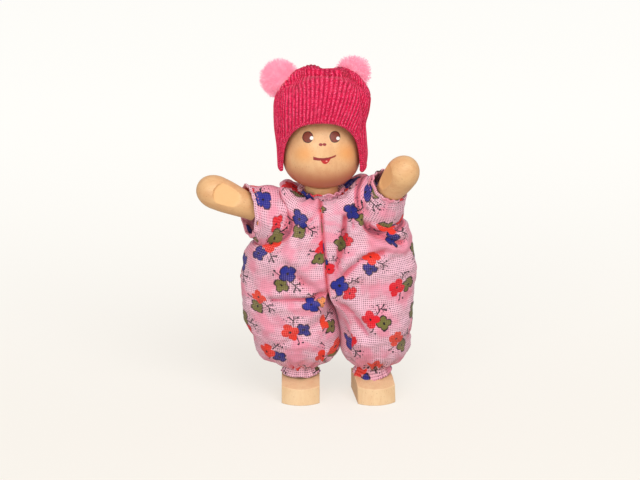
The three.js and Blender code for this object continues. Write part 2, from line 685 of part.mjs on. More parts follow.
// A pompom is a soft ball, pressed flat where it meets the cap
function makePompom(spot) {
  const ball = solidOf(new THREE.SphereGeometry(POMPOM_R, 18, 12).rotateX(Math.PI / 2)
    .translate(spot.x, spot.y, spot.z));
  const pressed = CAP_RINGS.map(({ z, half, depth }) => roundRing({
    z: z + GAP, half: half + GAP, depth: depth + GAP, count: FINE, power: CAP_POWER,
  }));
  const seam = bar(CAP_SEAM_R + GAP, -CAP_SEAM_HALF - GAP, CAP_SEAM_HALF + GAP)
    .rotateY(Math.PI / 2).translate(0, 0, CAP_SEAM_Z);
  return geometryOf(ball.subtract(solidOf(loft(pressed))).subtract(solidOf(seam)));
}

const doll = new THREE.Group();

// Body and romper
place(doll, 'body_dowel', makeDowel(), WOOD);
place(doll, 'shoulder_cord', cordAlong(shoulderCordPath(), ARM_CORD_R, 1), CORD_COTTON);
place(doll, 'leg_cord_fork', makeLegCordFork(), CORD_COTTON);
for (const [name, panel] of Object.entries(bodicePanels())) {
  place(doll, name, geometryOf(panel), ROMPER_COTTON);
}
const bandLow = BODICE_RINGS[BODICE_RINGS.length - 1].z + GAP;
place(
  doll,
  'romper_neck_band',
  ringBand(DOWEL_R + GAP, DOWEL_R + GAP + NECK_BAND_WALL, bandLow, bandLow + NECK_BAND_HEIGHT)
    .translate(SPINE_X, 0, 0),
  ELASTIC,
);

// Head and cap
const headGroup = new THREE.Group();
headGroup.name = 'head_turn';
headGroup.position.set(SPINE_X, 0, HEAD_RING_Z);
doll.add(headGroup);
place(headGroup, 'head', makeHead(), FACE_WOOD);
const capGroup = new THREE.Group();
headGroup.add(capGroup);
place(capGroup, 'cap_knit', makeCap(), CAP_KNIT);
place(capGroup, 'cap_top_seam', makeCapSeam(), CAP_KNIT);
for (const [side, spot] of Object.entries(POMPOMS)) {
  place(capGroup, `pompom_${side}`, makePompom(spot), POMPOM_WOOL);
}

// Arms
for (const [name, arm] of Object.entries(ARM_POSES)) {
  const sweep = new THREE.Group();
  sweep.name = `shoulder_sweep_${name}`;
  sweep.position.set(arm.x, 0, arm.z);
  sweep.rotation.z = -arm.side * radians(arm.sweepDeg);
  doll.add(sweep);
  place(sweep, `shoulder_bend_${name}`, new THREE.SphereGeometry(SHOULDER_BEND_R, 10, 8), CORD_COTTON);
  const raise = new THREE.Group();
  raise.name = `shoulder_raise_${name}`;
  raise.rotation.y = -arm.side * radians(arm.raiseDeg);
  sweep.add(raise);
  place(raise, `arm_cord_${name}`, makeArmCord(arm.side), CORD_COTTON);
  place(raise, `hand_${name}`, makeHand(arm.side), WOOD);
  place(raise, `sleeve_${name}`, makeSleeve(arm.side), ROMPER_COTTON);
  place(raise, `sleeve_hem_${name}`, makeSleeveHem(arm.side), ROMPER_COTTON);
}

// Legs
for (const [name, leg] of Object.entries(LEG_SHAPES)) {
  place(doll, `romper_leg_${name}`, makeRomperLeg(leg), ROMPER_COTTON);
  place(doll, `leg_cord_${name}`, cordAlong(legCordPath(leg), LEG_CORD_R, LEG_CORD_STEPS), CORD_COTTON);
  place(
    doll,
    `ankle_elastic_${name}`,
    ringBand(CUFF_R - CLOTH_WALL, CUFF_R - ELASTIC_INSET, CUFF_BOTTOM_Z, CUFF_BOTTOM_Z + CUFF_HEIGHT)
      .translate(leg.ankleX, 0, 0),
    ELASTIC,
  );
  place(doll, `trouser_hem_${name}`, makeHem(leg), ROMPER_COTTON);
  const ankle = new THREE.Group();
  ankle.name = `ankle_turn_${name}`;
  ankle.position.set(leg.ankleX, 0, 0);
  ankle.rotation.z = leg.side * radians(leg.toeOutDeg);
  doll.add(ankle);
  place(ankle, `foot_${name}`, makeFoot(), WOOD);
}

// The floor point under the middle of the box becomes the origin
const group = new THREE.Group();
group.add(doll);
group.updateMatrixWorld(true);
const box = new THREE.Box3().setFromObject(group, true);
doll.position.set(-(box.min.x + box.max.x) / 2, -(box.min.y + box.max.y) / 2, -box.min.z);
group.updateMatrixWorld(true);

export default group;
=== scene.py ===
"""Dollhouse baby doll: wood, cloth, knit and yarn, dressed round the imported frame.

Sizes are millimetres in the doll's own space: x = 0 is the middle of its romper, it faces -Y,
its left side is at +X and it stands on z = 0. DollSpace moves them into the frame, in metres.
"""

import json
import logging
import math
from collections.abc import Callable
from dataclasses import dataclass, field
from enum import Enum

import bmesh
import bpy
import numpy as np
from bpy.types import Material, Mesh, Object
from mathutils import Matrix, Vector, noise
from numpy.linalg import norm

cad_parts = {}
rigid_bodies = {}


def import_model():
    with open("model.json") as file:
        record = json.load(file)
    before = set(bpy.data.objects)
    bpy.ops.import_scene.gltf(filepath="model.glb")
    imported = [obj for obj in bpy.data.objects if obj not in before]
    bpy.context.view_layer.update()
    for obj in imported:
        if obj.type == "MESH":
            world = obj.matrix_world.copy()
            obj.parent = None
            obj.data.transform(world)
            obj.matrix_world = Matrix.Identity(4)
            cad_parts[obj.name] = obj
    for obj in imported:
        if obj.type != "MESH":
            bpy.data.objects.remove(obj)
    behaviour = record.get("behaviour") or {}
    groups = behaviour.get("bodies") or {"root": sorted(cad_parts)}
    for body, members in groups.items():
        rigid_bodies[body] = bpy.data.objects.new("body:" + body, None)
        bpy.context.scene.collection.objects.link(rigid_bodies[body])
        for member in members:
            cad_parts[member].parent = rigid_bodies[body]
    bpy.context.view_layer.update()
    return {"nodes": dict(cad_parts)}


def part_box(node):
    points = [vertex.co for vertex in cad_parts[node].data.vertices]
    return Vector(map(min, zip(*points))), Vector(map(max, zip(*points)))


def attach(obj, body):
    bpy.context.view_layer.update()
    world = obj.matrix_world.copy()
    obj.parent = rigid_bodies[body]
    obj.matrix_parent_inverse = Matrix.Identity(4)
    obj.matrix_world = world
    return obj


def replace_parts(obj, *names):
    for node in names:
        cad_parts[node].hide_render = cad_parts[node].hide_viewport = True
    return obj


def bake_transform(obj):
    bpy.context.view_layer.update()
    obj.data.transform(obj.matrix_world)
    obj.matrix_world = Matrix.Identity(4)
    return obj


LOG = logging.getLogger("dollhouse_doll")
MM = 0.001
TURN = 2 * math.pi
# radius in millimetres at which a turned surface counts as closed
POLE_RADIUS = 0.01

Array = np.ndarray
Colour = tuple[float, float, float, float]
Pair = tuple[float, float]
Triple = tuple[float, float, float]
# rows of numbers, whose columns a comment names
Table = tuple[tuple[float, ...], ...]


def srgb(*levels: float) -> Colour:
    """A colour as seen on a screen, as the linear colour that shaders take.

    Args:
        levels: Red, green and blue, 0 to 255.

    Returns:
        The linear colour, with full alpha.
    """
    seen = np.array(levels) / 255
    linear = np.where(seen <= 0.04045, seen / 12.92, ((seen + 0.055) / 1.055) ** 2.4)
    return (*linear.tolist(), 1.0)


def smoothstep(values: Array, low: float, high: float) -> Array:
    """Rises smoothly from 0 at low to 1 at high."""
    share = np.clip((values - low) / (high - low), 0, 1)
    return share * share * (3 - 2 * share)


def gauss(distance: Array, width: float) -> Array:
    """A bell curve of the given half width."""
    return np.exp(-((distance / width) ** 2))


def bulge(turn: Array, power: float) -> Array:
    """A sine or a cosine for an oval that is squarer the more power is over 2."""
    return np.sign(turn) * np.abs(turn) ** (2 / power)


def unit(vectors: Array) -> Array:
    """Each vector of the last axis at length 1."""
    return vectors / norm(vectors, axis=-1, keepdims=True)


def swells(place: Array, waves: tuple[Triple, ...]) -> Array:
    """A sum of bell curves, each given by its middle, its height and its half width."""
    return sum(height * gauss(place - middle, half) for middle, height, half in waves)


def spline(knots: Array, count: int) -> Array:
    """A smooth curve through knots, sampled evenly in its own parameter.

    Args:
        knots: One row for each knot.
        count: Number of samples.

    Returns:
        The samples, one row each.
    """
    padded = np.vstack([2 * knots[0] - knots[1], knots, 2 * knots[-1] - knots[-2]])
    place = np.linspace(0, len(knots) - 1 - 1e-9, count)
    index = place.astype(int)
    t = (place - index)[:, None]
    p0, p1, p2, p3 = (padded[index + step] for step in range(4))
    return 0.5 * (
        2 * p1
        + (p2 - p0) * t
        + (2 * p0 - 5 * p1 + 4 * p2 - p3) * t**2
        + (3 * p1 - p0 - 3 * p2 + p3) * t**3
    )


def wander(points: Array, size: float, seed: float) -> Array:
    """Smooth seeded noise at points.

    Args:
        points: Points in millimetres, with three numbers in the last axis.
        size: Width of its waves in millimetres.
        seed: Any number; another one gives another pattern.

    Returns:
        About -1 to 1 for each point.
    """
    flat = points.reshape(-1, 3) / size
    offset = Vector((seed, seed * 1.7, seed * 0.3))
    values = [noise.fractal(Vector(p) + offset, 1.0, 2.0, 2) for p in flat]
    return np.array(values).reshape(points.shape[:-1])


class Side(Enum):
    """The doll's own right and left; the value is the sign of X."""

    RIGHT = -1
    LEFT = 1

    @property
    def word(self) -> str:
        """The word in node and body names."""
        return self.name.lower()


@dataclass(frozen=True)
class DollSpace:
    """Moves doll millimetres into the frame's metres."""

    offset: Pair

    @classmethod
    def from_frame(cls, spine_x: float) -> "DollSpace":
        """Finds the doll's space from its dowel.

        Args:
            spine_x: The dowel's place in the doll's own space.

        Returns:
            The doll's space.
        """
        low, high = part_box("body_dowel")
        middle = (low + high) / 2 / MM
        return cls((middle.x - spine_x, middle.y))

    def metres(self, points: Array) -> Array:
        """Points in the frame, in metres."""
        return (np.asarray(points, float) + np.array([*self.offset, 0])) * MM

    def point(self, x: float, y: float, z: float) -> Vector:
        """One point in the frame, in metres."""
        return Vector(self.metres(np.array([x, y, z])))


def math_method(operation: str, turned_round: bool = False) -> Callable[..., "Wire"]:
    """A method of Wire that adds one Math node.

    Args:
        operation: The node's operation.
        turned_round: Whether the wire comes after the other values.

    Returns:
        The method.
    """

    def method(self: "Wire", *others: "float | Wire") -> "Wire":
        """This value and others through one Math node."""
        values = (*others, self) if turned_round else (self, *others)
        return self.graph.math(operation, *values)

    return method


class Wire:
    """A node's output that takes part in arithmetic; each operation adds a Math node."""

    __add__ = __radd__ = math_method("ADD")
    __sub__ = math_method("SUBTRACT")
    __rsub__ = math_method("SUBTRACT", turned_round=True)
    __mul__ = __rmul__ = math_method("MULTIPLY")
    __truediv__ = math_method("DIVIDE")
    __pow__ = math_method("POWER")
    __abs__ = math_method("ABSOLUTE")
    floor = math_method("FLOOR")
    fract = math_method("FRACT")
    sine = math_method("SINE")
    cosine = math_method("COSINE")
    angle_over = math_method("ARCTAN2")
    least = math_method("MINIMUM")
    most = math_method("MAXIMUM")

    def __init__(self, graph: "NodeTree", socket: bpy.types.NodeSocket) -> None:
        """Wraps the output of a tree's node."""
        self.graph = graph
        self.socket = socket

    def swing(self) -> "Wire":
        """The sine of radians, moved to run from 0 to 1."""
        return self.sine() * 0.5 + 0.5

    def rise(self, low: float, high: float) -> "Wire":
        """0 up to low, 1 from high on, and smooth between; high may be the smaller."""
        inputs = {"Value": self, "From Min": low, "From Max": high}
        return self.graph.wire("ShaderNodeMapRange", {"interpolation_type": "SMOOTHSTEP"}, inputs)


def reach(x: Wire, y: Wire) -> Wire:
    """Distance from the origin."""
    return (x * x + y * y) ** 0.5


class NodeTree:
    """A node tree whose nodes all come from one method."""

    def __init__(self, tree: bpy.types.NodeTree) -> None:
        """Takes over a tree and empties it."""
        self.tree = tree
        tree.nodes.clear()

    def node(self, kind: str, settings: dict | None = None, inputs: dict | None = None) -> bpy.types.Node:
        """Adds a node.

        Args:
            kind: Its Blender type.
            settings: Its properties; "stops" are a colour ramp's places and colours.
            inputs: Values, wires or sockets by socket name or number.

        Returns:
            The node.
        """
        made = self.tree.nodes.new(kind)
        for key, value in (settings or {}).items():
            if key == "stops":
                self.fill_ramp(made.color_ramp, value)
            else:
                setattr(made, key, value)
        for key, value in (inputs or {}).items():
            source = value.socket if isinstance(value, Wire) else value
            if isinstance(source, bpy.types.NodeSocket):
                self.tree.links.new(source, made.inputs[key])
            else:
                made.inputs[key].default_value = source
        return made

    def wire(
        self, kind: str, settings: dict | None = None, inputs: dict | None = None, output: int | str = 0
    ) -> Wire:
        """Adds a node as node() does, and returns one of its outputs."""
        return Wire(self, self.node(kind, settings, inputs).outputs[output])

    @staticmethod
    def fill_ramp(ramp: bpy.types.ColorRamp, stops: list[tuple[float, Colour]]) -> None:
        """Gives a colour ramp its stops, with hard steps between them."""
        ramp.interpolation = "CONSTANT"
        while len(ramp.elements) < len(stops):
            ramp.elements.new(1)
        for element, (place, colour) in zip(ramp.elements, stops):
            element.position = place
            element.color = colour

    def math(self, operation: str, *values: float | Wire) -> Wire:
        """A Math node on values."""
        return self.wire("ShaderNodeMath", {"operation": operation}, dict(enumerate(values)))

    def join(self, x: float | Wire, y: float | Wire, z: float | Wire) -> Wire:
        """A vector of three numbers."""
        return self.wire("ShaderNodeCombineXYZ", None, {0: x, 1: y, 2: z})


class Graph(NodeTree):
    """One material's node tree."""

    def __init__(self, name: str) -> None:
        """Starts an empty material."""
        self.material = bpy.data.materials.new(name)
        self.material.use_nodes = True
        super().__init__(self.material.node_tree)

    def split(self, vector: Wire) -> tuple[Wire, Wire, Wire]:
        """A vector's three numbers."""
        made = self.node("ShaderNodeSeparateXYZ", None, {0: vector})
        return tuple(Wire(self, made.outputs[index]) for index in range(3))

    def place(self, centre: Vector = Vector()) -> Wire:
        """Object coordinates in millimetres from a centre that is given in metres."""
        source = self.wire("ShaderNodeTexCoord", output="Object")
        scale = (1 / MM, 1 / MM, 1 / MM)
        inputs = {"Vector": source, "Location": tuple(-centre / MM), "Scale": scale}
        return self.wire("ShaderNodeMapping", None, inputs)

    def cloth(self) -> Wire:
        """The piece's own UV map, which holds millimetres of flat cloth."""
        return self.wire("ShaderNodeUVMap", {"uv_map": "cloth"})

    def attribute(self, name: str) -> Wire:
        """A number stored on the mesh."""
        return self.wire("ShaderNodeAttribute", {"attribute_name": name}, output="Fac")

    def stretch(self, vector: Wire, scale: Triple) -> Wire:
        """A vector scaled along each axis."""
        return self.wire("ShaderNodeVectorMath", {"operation": "MULTIPLY"}, {0: vector, 1: scale})

    def noise(self, vector: Wire, size: float, detail: float = 2.0, roughness: float = 0.5) -> Wire:
        """Smooth noise with waves about as wide as size."""
        inputs = {"Vector": vector, "Scale": 1 / size, "Detail": detail, "Roughness": roughness}
        return self.wire("ShaderNodeTexNoise", None, inputs)

    def chance(self, x: Wire, y: Wire, seed: float) -> tuple[Wire, Wire, Wire]:
        """Three random numbers for a cell of a pattern."""
        inputs = {"Vector": self.join(x, y, seed)}
        drawn = self.wire("ShaderNodeTexWhiteNoise", {"noise_dimensions": "3D"}, inputs, "Color")
        made = self.node("ShaderNodeSeparateColor", None, {0: drawn})
        return tuple(Wire(self, made.outputs[index]) for index in range(3))

    def mix(self, share: float | Wire, low: Colour | Wire, high: Colour | Wire) -> Wire:
        """Low where share is 0 and high where it is 1."""
        settings = {"data_type": "RGBA", "clamp_factor": True}
        return self.wire("ShaderNodeMix", settings, {0: share, 6: low, 7: high}, 2)

    def pick(self, share: Wire, colours: list[Colour]) -> Wire:
        """One of the colours for each cell, by its share of 0 to 1."""
        stops = [(index / len(colours), colour) for index, colour in enumerate(colours)]
        return self.wire("ShaderNodeValToRGB", {"stops": stops}, {0: share})

    def bump(self, height: Wire, depth: float, strength: float = 1.0, under: Wire | None = None) -> Wire:
        """A normal bent by a height of 0 to 1 that stands for depth millimetres."""
        inputs = {"Height": height, "Distance": depth * MM, "Strength": strength}
        if under is not None:
            inputs["Normal"] = under
        return self.wire("ShaderNodeBump", None, inputs)

    def finish(
        self, colour: Wire, roughness: float | Wire, normal: Wire, **constants: float | Colour
    ) -> Material:
        """Ends the tree in one Principled shader.

        Args:
            colour: Base colour.
            roughness: Roughness.
            normal: Bent normal.
            constants: Values of its other sockets, named with underscores.

        Returns:
            The material.
        """
        inputs = {"Base Color": colour, "Roughness": roughness, "Normal": normal}
        for name, value in constants.items():
            inputs[name.replace("_", " ")] = value
        shader = self.wire("ShaderNodeBsdfPrincipled", None, inputs)
        self.node("ShaderNodeOutputMaterial", None, {"Surface": shader})
        return self.material


@dataclass(frozen=True)
class TurnedWood:
    """Pale sanded wood under thin varnish, with fine grain along one axis and small flecks."""

    name: str
    light: Colour
    dark: Colour
    fleck: Colour
    sanded: Colour
    grain: Triple
    centre: Vector = Vector()
    # millimetres from mark to mark
    broad_size: float = 1.8
    fine_size: float = 0.5
    patch_size: float = 5.0
    fleck_size: float = 0.28
    roughness: float = 0.42
    grain_roughness: float = 0.16
    grain_depth: float = 0.03
    grain_bump: float = 0.5
    coat: float = 0.12
    coat_roughness: float = 0.35

    def colour(self, graph: Graph) -> tuple[Wire, Wire]:
        """The wood's colour and its grain.

        Args:
            graph: The material's tree.

        Returns:
            The colour, and the grain as 0 to 1.
        """
        place = graph.place(self.centre)
        along = graph.stretch(place, self.grain)
        broad = graph.noise(along, self.broad_size, 3)
        fine = graph.noise(along, self.fine_size, 3, 0.65)
        patch = graph.noise(place, self.patch_size, 2)
        flecks = graph.noise(along, self.fleck_size, 1).rise(0.64, 0.76)
        wood = graph.mix(broad.rise(0.35, 0.8) * 0.55, self.light, self.dark)
        wood = graph.mix(patch.rise(0.4, 0.8) * 0.3, wood, self.dark)
        wood = graph.mix(fine.rise(0.45, 0.8) * 0.45, wood, self.dark)
        wood = graph.mix(flecks * 0.5, wood, self.fleck)
        wood = graph.mix(graph.attribute("sanded") * 0.8, wood, self.sanded)
        return wood, broad * 0.5 + fine * 0.5

    def paint(self, colour: Wire) -> Wire:
        """What is painted on the wood: nothing on bare wood."""
        return colour

    def make(self) -> Material:
        """Builds the material."""
        graph = Graph(self.name)
        colour, grain = self.colour(graph)
        return graph.finish(
            self.paint(colour),
            grain * self.grain_roughness + self.roughness,
            graph.bump(grain, self.grain_depth, self.grain_bump),
            Coat_Weight=self.coat,
            Coat_Roughness=self.coat_roughness,
        )


@dataclass(frozen=True)
class PaintedFace(TurnedWood):
    """The head's wood with its painted features, laid on from the front and a little above.

    Places are millimetres to the doll's left and upwards, seen from 20 degrees above.
    """

    grain_depth: float = 0.02
    grain_bump: float = 0.4
    coat: float = 0.2
    coat_roughness: float = 0.3
    lookdown: float = math.radians(20)
    eyes: tuple[Pair, ...] = ((-3.78, 5.3), (3.72, 5.38))
    eye_half: Pair = (1.42, 1.54)
    glints: tuple[Pair, ...] = ((-2.72, 5.05), (4.6, 5.0))
    glint_half: Pair = (0.52, 0.52)
    nose: tuple[Pair, ...] = ((-0.2, 3.22), (0.85, 3.26))
    nostril_half: Pair = (0.56, 0.44)
    cheeks: tuple[Pair, ...] = ((-4.7, 0.75), (7.0, 1.05))
    cheek_half: Pair = (3.6, 3.0)
    mouth: Pair = (0.85, -0.78)
    mouth_half: float = 3.15
    mouth_tilt: float = 0.115
    mouth_bend: float = 0.062
    # half the mouth line's thickness in its middle, and how much it thins to the doll's left
    line_half: float = 0.33
    line_taper: float = 0.035
    # the lower lip's middle beside the mouth's, its depth and the square of its half width
    lip_aside: float = 0.3
    lip_depth: float = 1.42
    lip_spread: float = 2.5
    lip_glint: Pair = (0.55, -0.6)
    lip_glint_half: Pair = (0.3, 0.2)
    # heights between which painted shade darkens the wood towards the chin
    chin_from: float = 2.8
    chin_to: float = -5.0
    eye_brown: Colour = srgb(138, 58, 38)
    outline: Colour = srgb(52, 16, 14)
    white: Colour = srgb(255, 254, 250)
    lip_red: Colour = srgb(196, 32, 34)
    lip_shine: Colour = srgb(250, 190, 180)
    line_red: Colour = srgb(148, 30, 34)
    blush: Colour = srgb(244, 168, 96)
    # painted shade under the chin, reddened as by light reflected from the pink cloth
    chin: Colour = srgb(184, 104, 68)

    @staticmethod
    def spot(u: Wire, v: Wire, centre: Pair, half: Pair) -> Wire:
        """Distance from an oval's centre, 1 on its edge."""
        return reach((u - centre[0]) / half[0], (v - centre[1]) / half[1])

    def paint(self, colour: Wire) -> Wire:
        """Paints the chin's shade, the cheeks, the eyes, the nose and the mouth.

        Args:
            colour: The wood's colour.

        Returns:
            The painted colour.
        """
        graph = colour.graph
        place = graph.place(self.centre)
        x, y, z = graph.split(place)
        wobble = graph.noise(place, 0.9, 2) - 0.5
        u = x + wobble * 0.22
        v = z * math.cos(self.lookdown) + y * math.sin(self.lookdown) + wobble * 0.16
        front = y.rise(-2.0, -3.5)
        # painted shade towards the chin
        colour = graph.mix(z.rise(self.chin_from, self.chin_to), colour, self.chin)
        for centre in self.cheeks:
            warm = self.spot(u, v, centre, self.cheek_half).rise(1.25, 0.0)
            colour = graph.mix(warm * front * 0.8, colour, self.blush)
        uneven = graph.noise(place, 0.5, 2).rise(0.4, 0.8) * 0.4
        iris = graph.mix(uneven, self.eye_brown, self.outline)
        for centre in self.eyes:
            edge = self.spot(u, v, centre, self.eye_half)
            colour = graph.mix(edge.rise(1.1, 1.02) * front, colour, self.outline)
            colour = graph.mix(edge.rise(0.96, 0.88) * front, colour, iris)
        for centre in self.glints:
            shine = self.spot(u, v, centre, self.glint_half).rise(1.1, 0.8)
            colour = graph.mix(shine * front, colour, self.white)
        for centre in self.nose:
            mark = self.spot(u, v, centre, self.nostril_half).rise(1.15, 0.75)
            colour = graph.mix(mark * front, colour, self.line_red)
        return self.paint_mouth(u - self.mouth[0], v - self.mouth[1], front, colour)

    def paint_mouth(self, along: Wire, up: Wire, front: Wire, colour: Wire) -> Wire:
        """Adds the smile's line and the full lower lip.

        Args:
            along: Millimetres to the doll's left of the mouth's middle.
            up: Millimetres over it.
            front: 1 on the front of the head.
            colour: The colour so far.

        Returns:
            The colour with the mouth.
        """
        graph = colour.graph
        under = along * along * self.mouth_bend - (up - along * self.mouth_tilt)
        inside = abs(along).rise(self.mouth_half + 0.15, self.mouth_half - 0.15)
        half_line = self.line_half - along * self.line_taper
        stroke = (abs(under) - half_line).rise(0.07, -0.07) * inside
        across = along - self.lip_aside
        lip_depth = (1.0 - across * across / self.lip_spread).most(0.0) * self.lip_depth
        lip = under.rise(-0.05, 0.1) * (lip_depth - under).rise(-0.08, 0.08)
        colour = graph.mix(lip * front, colour, self.lip_red)
        colour = graph.mix(stroke * front, colour, self.line_red)
        shine = self.spot(along, up, self.lip_glint, self.lip_glint_half).rise(1.1, 0.6)
        return graph.mix(shine * front * 0.7, colour, self.lip_shine)


@dataclass(frozen=True)
class FlowerPrint:
    """A scattered print of paired flowers with twigs, drawn on flat cloth in millimetres.

    Places within a pair are millimetres from its middle, before the pair is turned.
    """

    pitch: Pair = (16.5, 8.8)
    wander: float = 1.6
    large: float = 2.6
    large_at: Pair = (-1.25, 1.25)
    small: float = 2.15
    small_at: Pair = (1.5, -1.6)
    petals: int = 4
    twigs: tuple[tuple[Pair, Pair], ...] = (
        ((1.0, 1.4), (4.3, 2.7)),
        ((2.5, 2.0), (3.0, 3.5)),
        ((3.2, 2.25), (4.2, 1.4)),
        ((-3.0, -2.2), (-1.2, -0.6)),
    )
    leaves: tuple[Pair, ...] = ((3.05, 3.65), (4.35, 1.25), (-3.3, -2.1), (4.5, 2.85), (-2.2, -3.0))
    # the scattered dots' middle, the way from one to the next, and how far they reach
    spatter_at: Pair = (3.0, 2.4)
    spatter: float = 0.9
    spread: float = 3.8
    ink: Colour = srgb(26, 18, 30)
    # the larger and the smaller flower of each kind of pair, and how strong their ink lines are
    pairs: tuple[tuple[Colour, Colour, float, float], ...] = (
        (srgb(236, 56, 36), srgb(32, 42, 128), 0.05, 0.95),
        (srgb(228, 26, 40), srgb(116, 112, 56), 0.05, 0.95),
        (srgb(34, 48, 146), srgb(236, 142, 76), 0.8, 0.6),
        (srgb(236, 66, 38), srgb(120, 114, 60), 0.05, 0.95),
        (srgb(36, 46, 140), srgb(228, 32, 44), 0.9, 0.3),
        (srgb(112, 108, 56), srgb(180, 138, 204), 0.95, 0.6),
        (srgb(118, 112, 60), srgb(226, 30, 42), 0.95, 0.4),
        (srgb(34, 44, 134), srgb(120, 114, 58), 0.9, 0.9),
    )

    def flower(self, x: Wire, y: Wire, radius: float, turn: Wire) -> tuple[Wire, Wire, Wire]:
        """One flower with round petals.

        Args:
            x: Distance from its centre.
            y: Distance from its centre.
            radius: Reach of its petals.
            turn: Its turn in radians.

        Returns:
            Its fill, its outline and its centre dot.
        """
        out = reach(x, y)
        angle = y.angle_over(x) + turn
        petal = abs((angle * (self.petals / 2)).cosine()) ** 0.6
        inside = (petal * 0.42 + 0.6) * radius - out
        return inside.rise(-0.06, 0.06), abs(inside).rise(0.26, 0.12), out.rise(0.44, 0.28)

    @staticmethod
    def twig(x: Wire, y: Wire, start: Pair, end: Pair) -> Wire:
        """Distance from a straight twig."""
        dx, dy = end[0] - start[0], end[1] - start[1]
        px, py = x - start[0], y - start[1]
        share = ((px * dx + py * dy) * (1 / (dx * dx + dy * dy))).most(0.0).least(1.0)
        return reach(px - share * dx, py - share * dy)

    def spots(self, x: Wire, y: Wire) -> Wire:
        """Small ink dots scattered round a twig, by the distance from its middle."""
        column, row = (x / self.spatter).floor(), (y / self.spatter).floor()
        r1, r2, r3 = x.graph.chance(column, row, 23.0)
        px = (x / self.spatter).fract() - (r1 * 0.5 + 0.25)
        py = (y / self.spatter).fract() - (r2 * 0.5 + 0.25)
        near = reach(x, y).rise(self.spread, self.spread * 0.7)
        return reach(px, py).rise(0.23, 0.14) * near * r3.rise(0.38, 0.43)

    def drawn(self, x: Wire, y: Wire) -> Wire:
        """The ink of the twigs, their leaves and the dots round them.

        Args:
            x: Millimetres from the pair's middle.
            y: Millimetres from the pair's middle.

        Returns:
            1 where there is ink.
        """
        twigs = self.twig(x, y, *self.twigs[0])
        for start, end in self.twigs[1:]:
            twigs = twigs.least(self.twig(x, y, start, end))
        spots = self.spots(x - self.spatter_at[0], y - self.spatter_at[1])
        ink = twigs.rise(0.23, 0.12).most(spots)
        for across, up in self.leaves:
            px, py = x - across, y - up
            ink = ink.most(((px * px + py * py * 1.6) ** 0.5).rise(0.42, 0.28))
        return ink

    def draw(self, cloth: Wire, ground: Wire) -> tuple[Wire, Wire]:
        """Prints the flowers over the ground colour.

        Args:
            cloth: Millimetres of flat cloth.
            ground: The ground colour.

        Returns:
            The printed colour, and where a flower covers the ground.
        """
        graph = cloth.graph
        u, v, _ = graph.split(cloth)
        wobble_u = graph.noise(cloth, 1.3, 2) - 0.5
        wobble_v = graph.noise(graph.stretch(cloth, (1.0, -1.0, 1.0)), 1.1, 2) - 0.5
        u = u + wobble_u * 0.9
        v = v + wobble_v * 0.9
        row = (v / self.pitch[1]).floor()
        shifted = u / self.pitch[0] + (row * 0.5 + 0.13)
        column = shifted.floor()
        r1, r2, r3 = graph.chance(column, row, 4.0)
        r4, r5, r6 = graph.chance(column, row, 11.0)
        a = (shifted.fract() - 0.5) * self.pitch[0] + (r1 - 0.5) * self.wander
        b = ((v / self.pitch[1]).fract() - 0.5) * self.pitch[1] + (r2 - 0.5) * self.wander
        turn = (r3 - 0.5) * 2.6
        c, s = turn.cosine(), turn.sine()
        x = a * c + b * s
        y = b * c - a * s
        colour = graph.mix(self.drawn(x, y), ground, self.ink)
        large, small, large_ink, small_ink = (list(column) for column in zip(*self.pairs))
        covered = 0.0
        for place, radius, spin, colours, inks in (
            (self.small_at, self.small, r5, small, small_ink),
            (self.large_at, self.large, r6, large, large_ink),
        ):
            px, py = x - place[0], y - place[1]
            fill, line, dot = self.flower(px, py, radius, spin * 3.0)
            strength = graph.pick(r4, [(ink, ink, ink, 1.0) for ink in inks])
            colour = graph.mix(fill, colour, graph.pick(r4, colours))
            colour = graph.mix((line * strength).most(dot), colour, self.ink)
            covered = fill.most(covered)
        return colour, covered


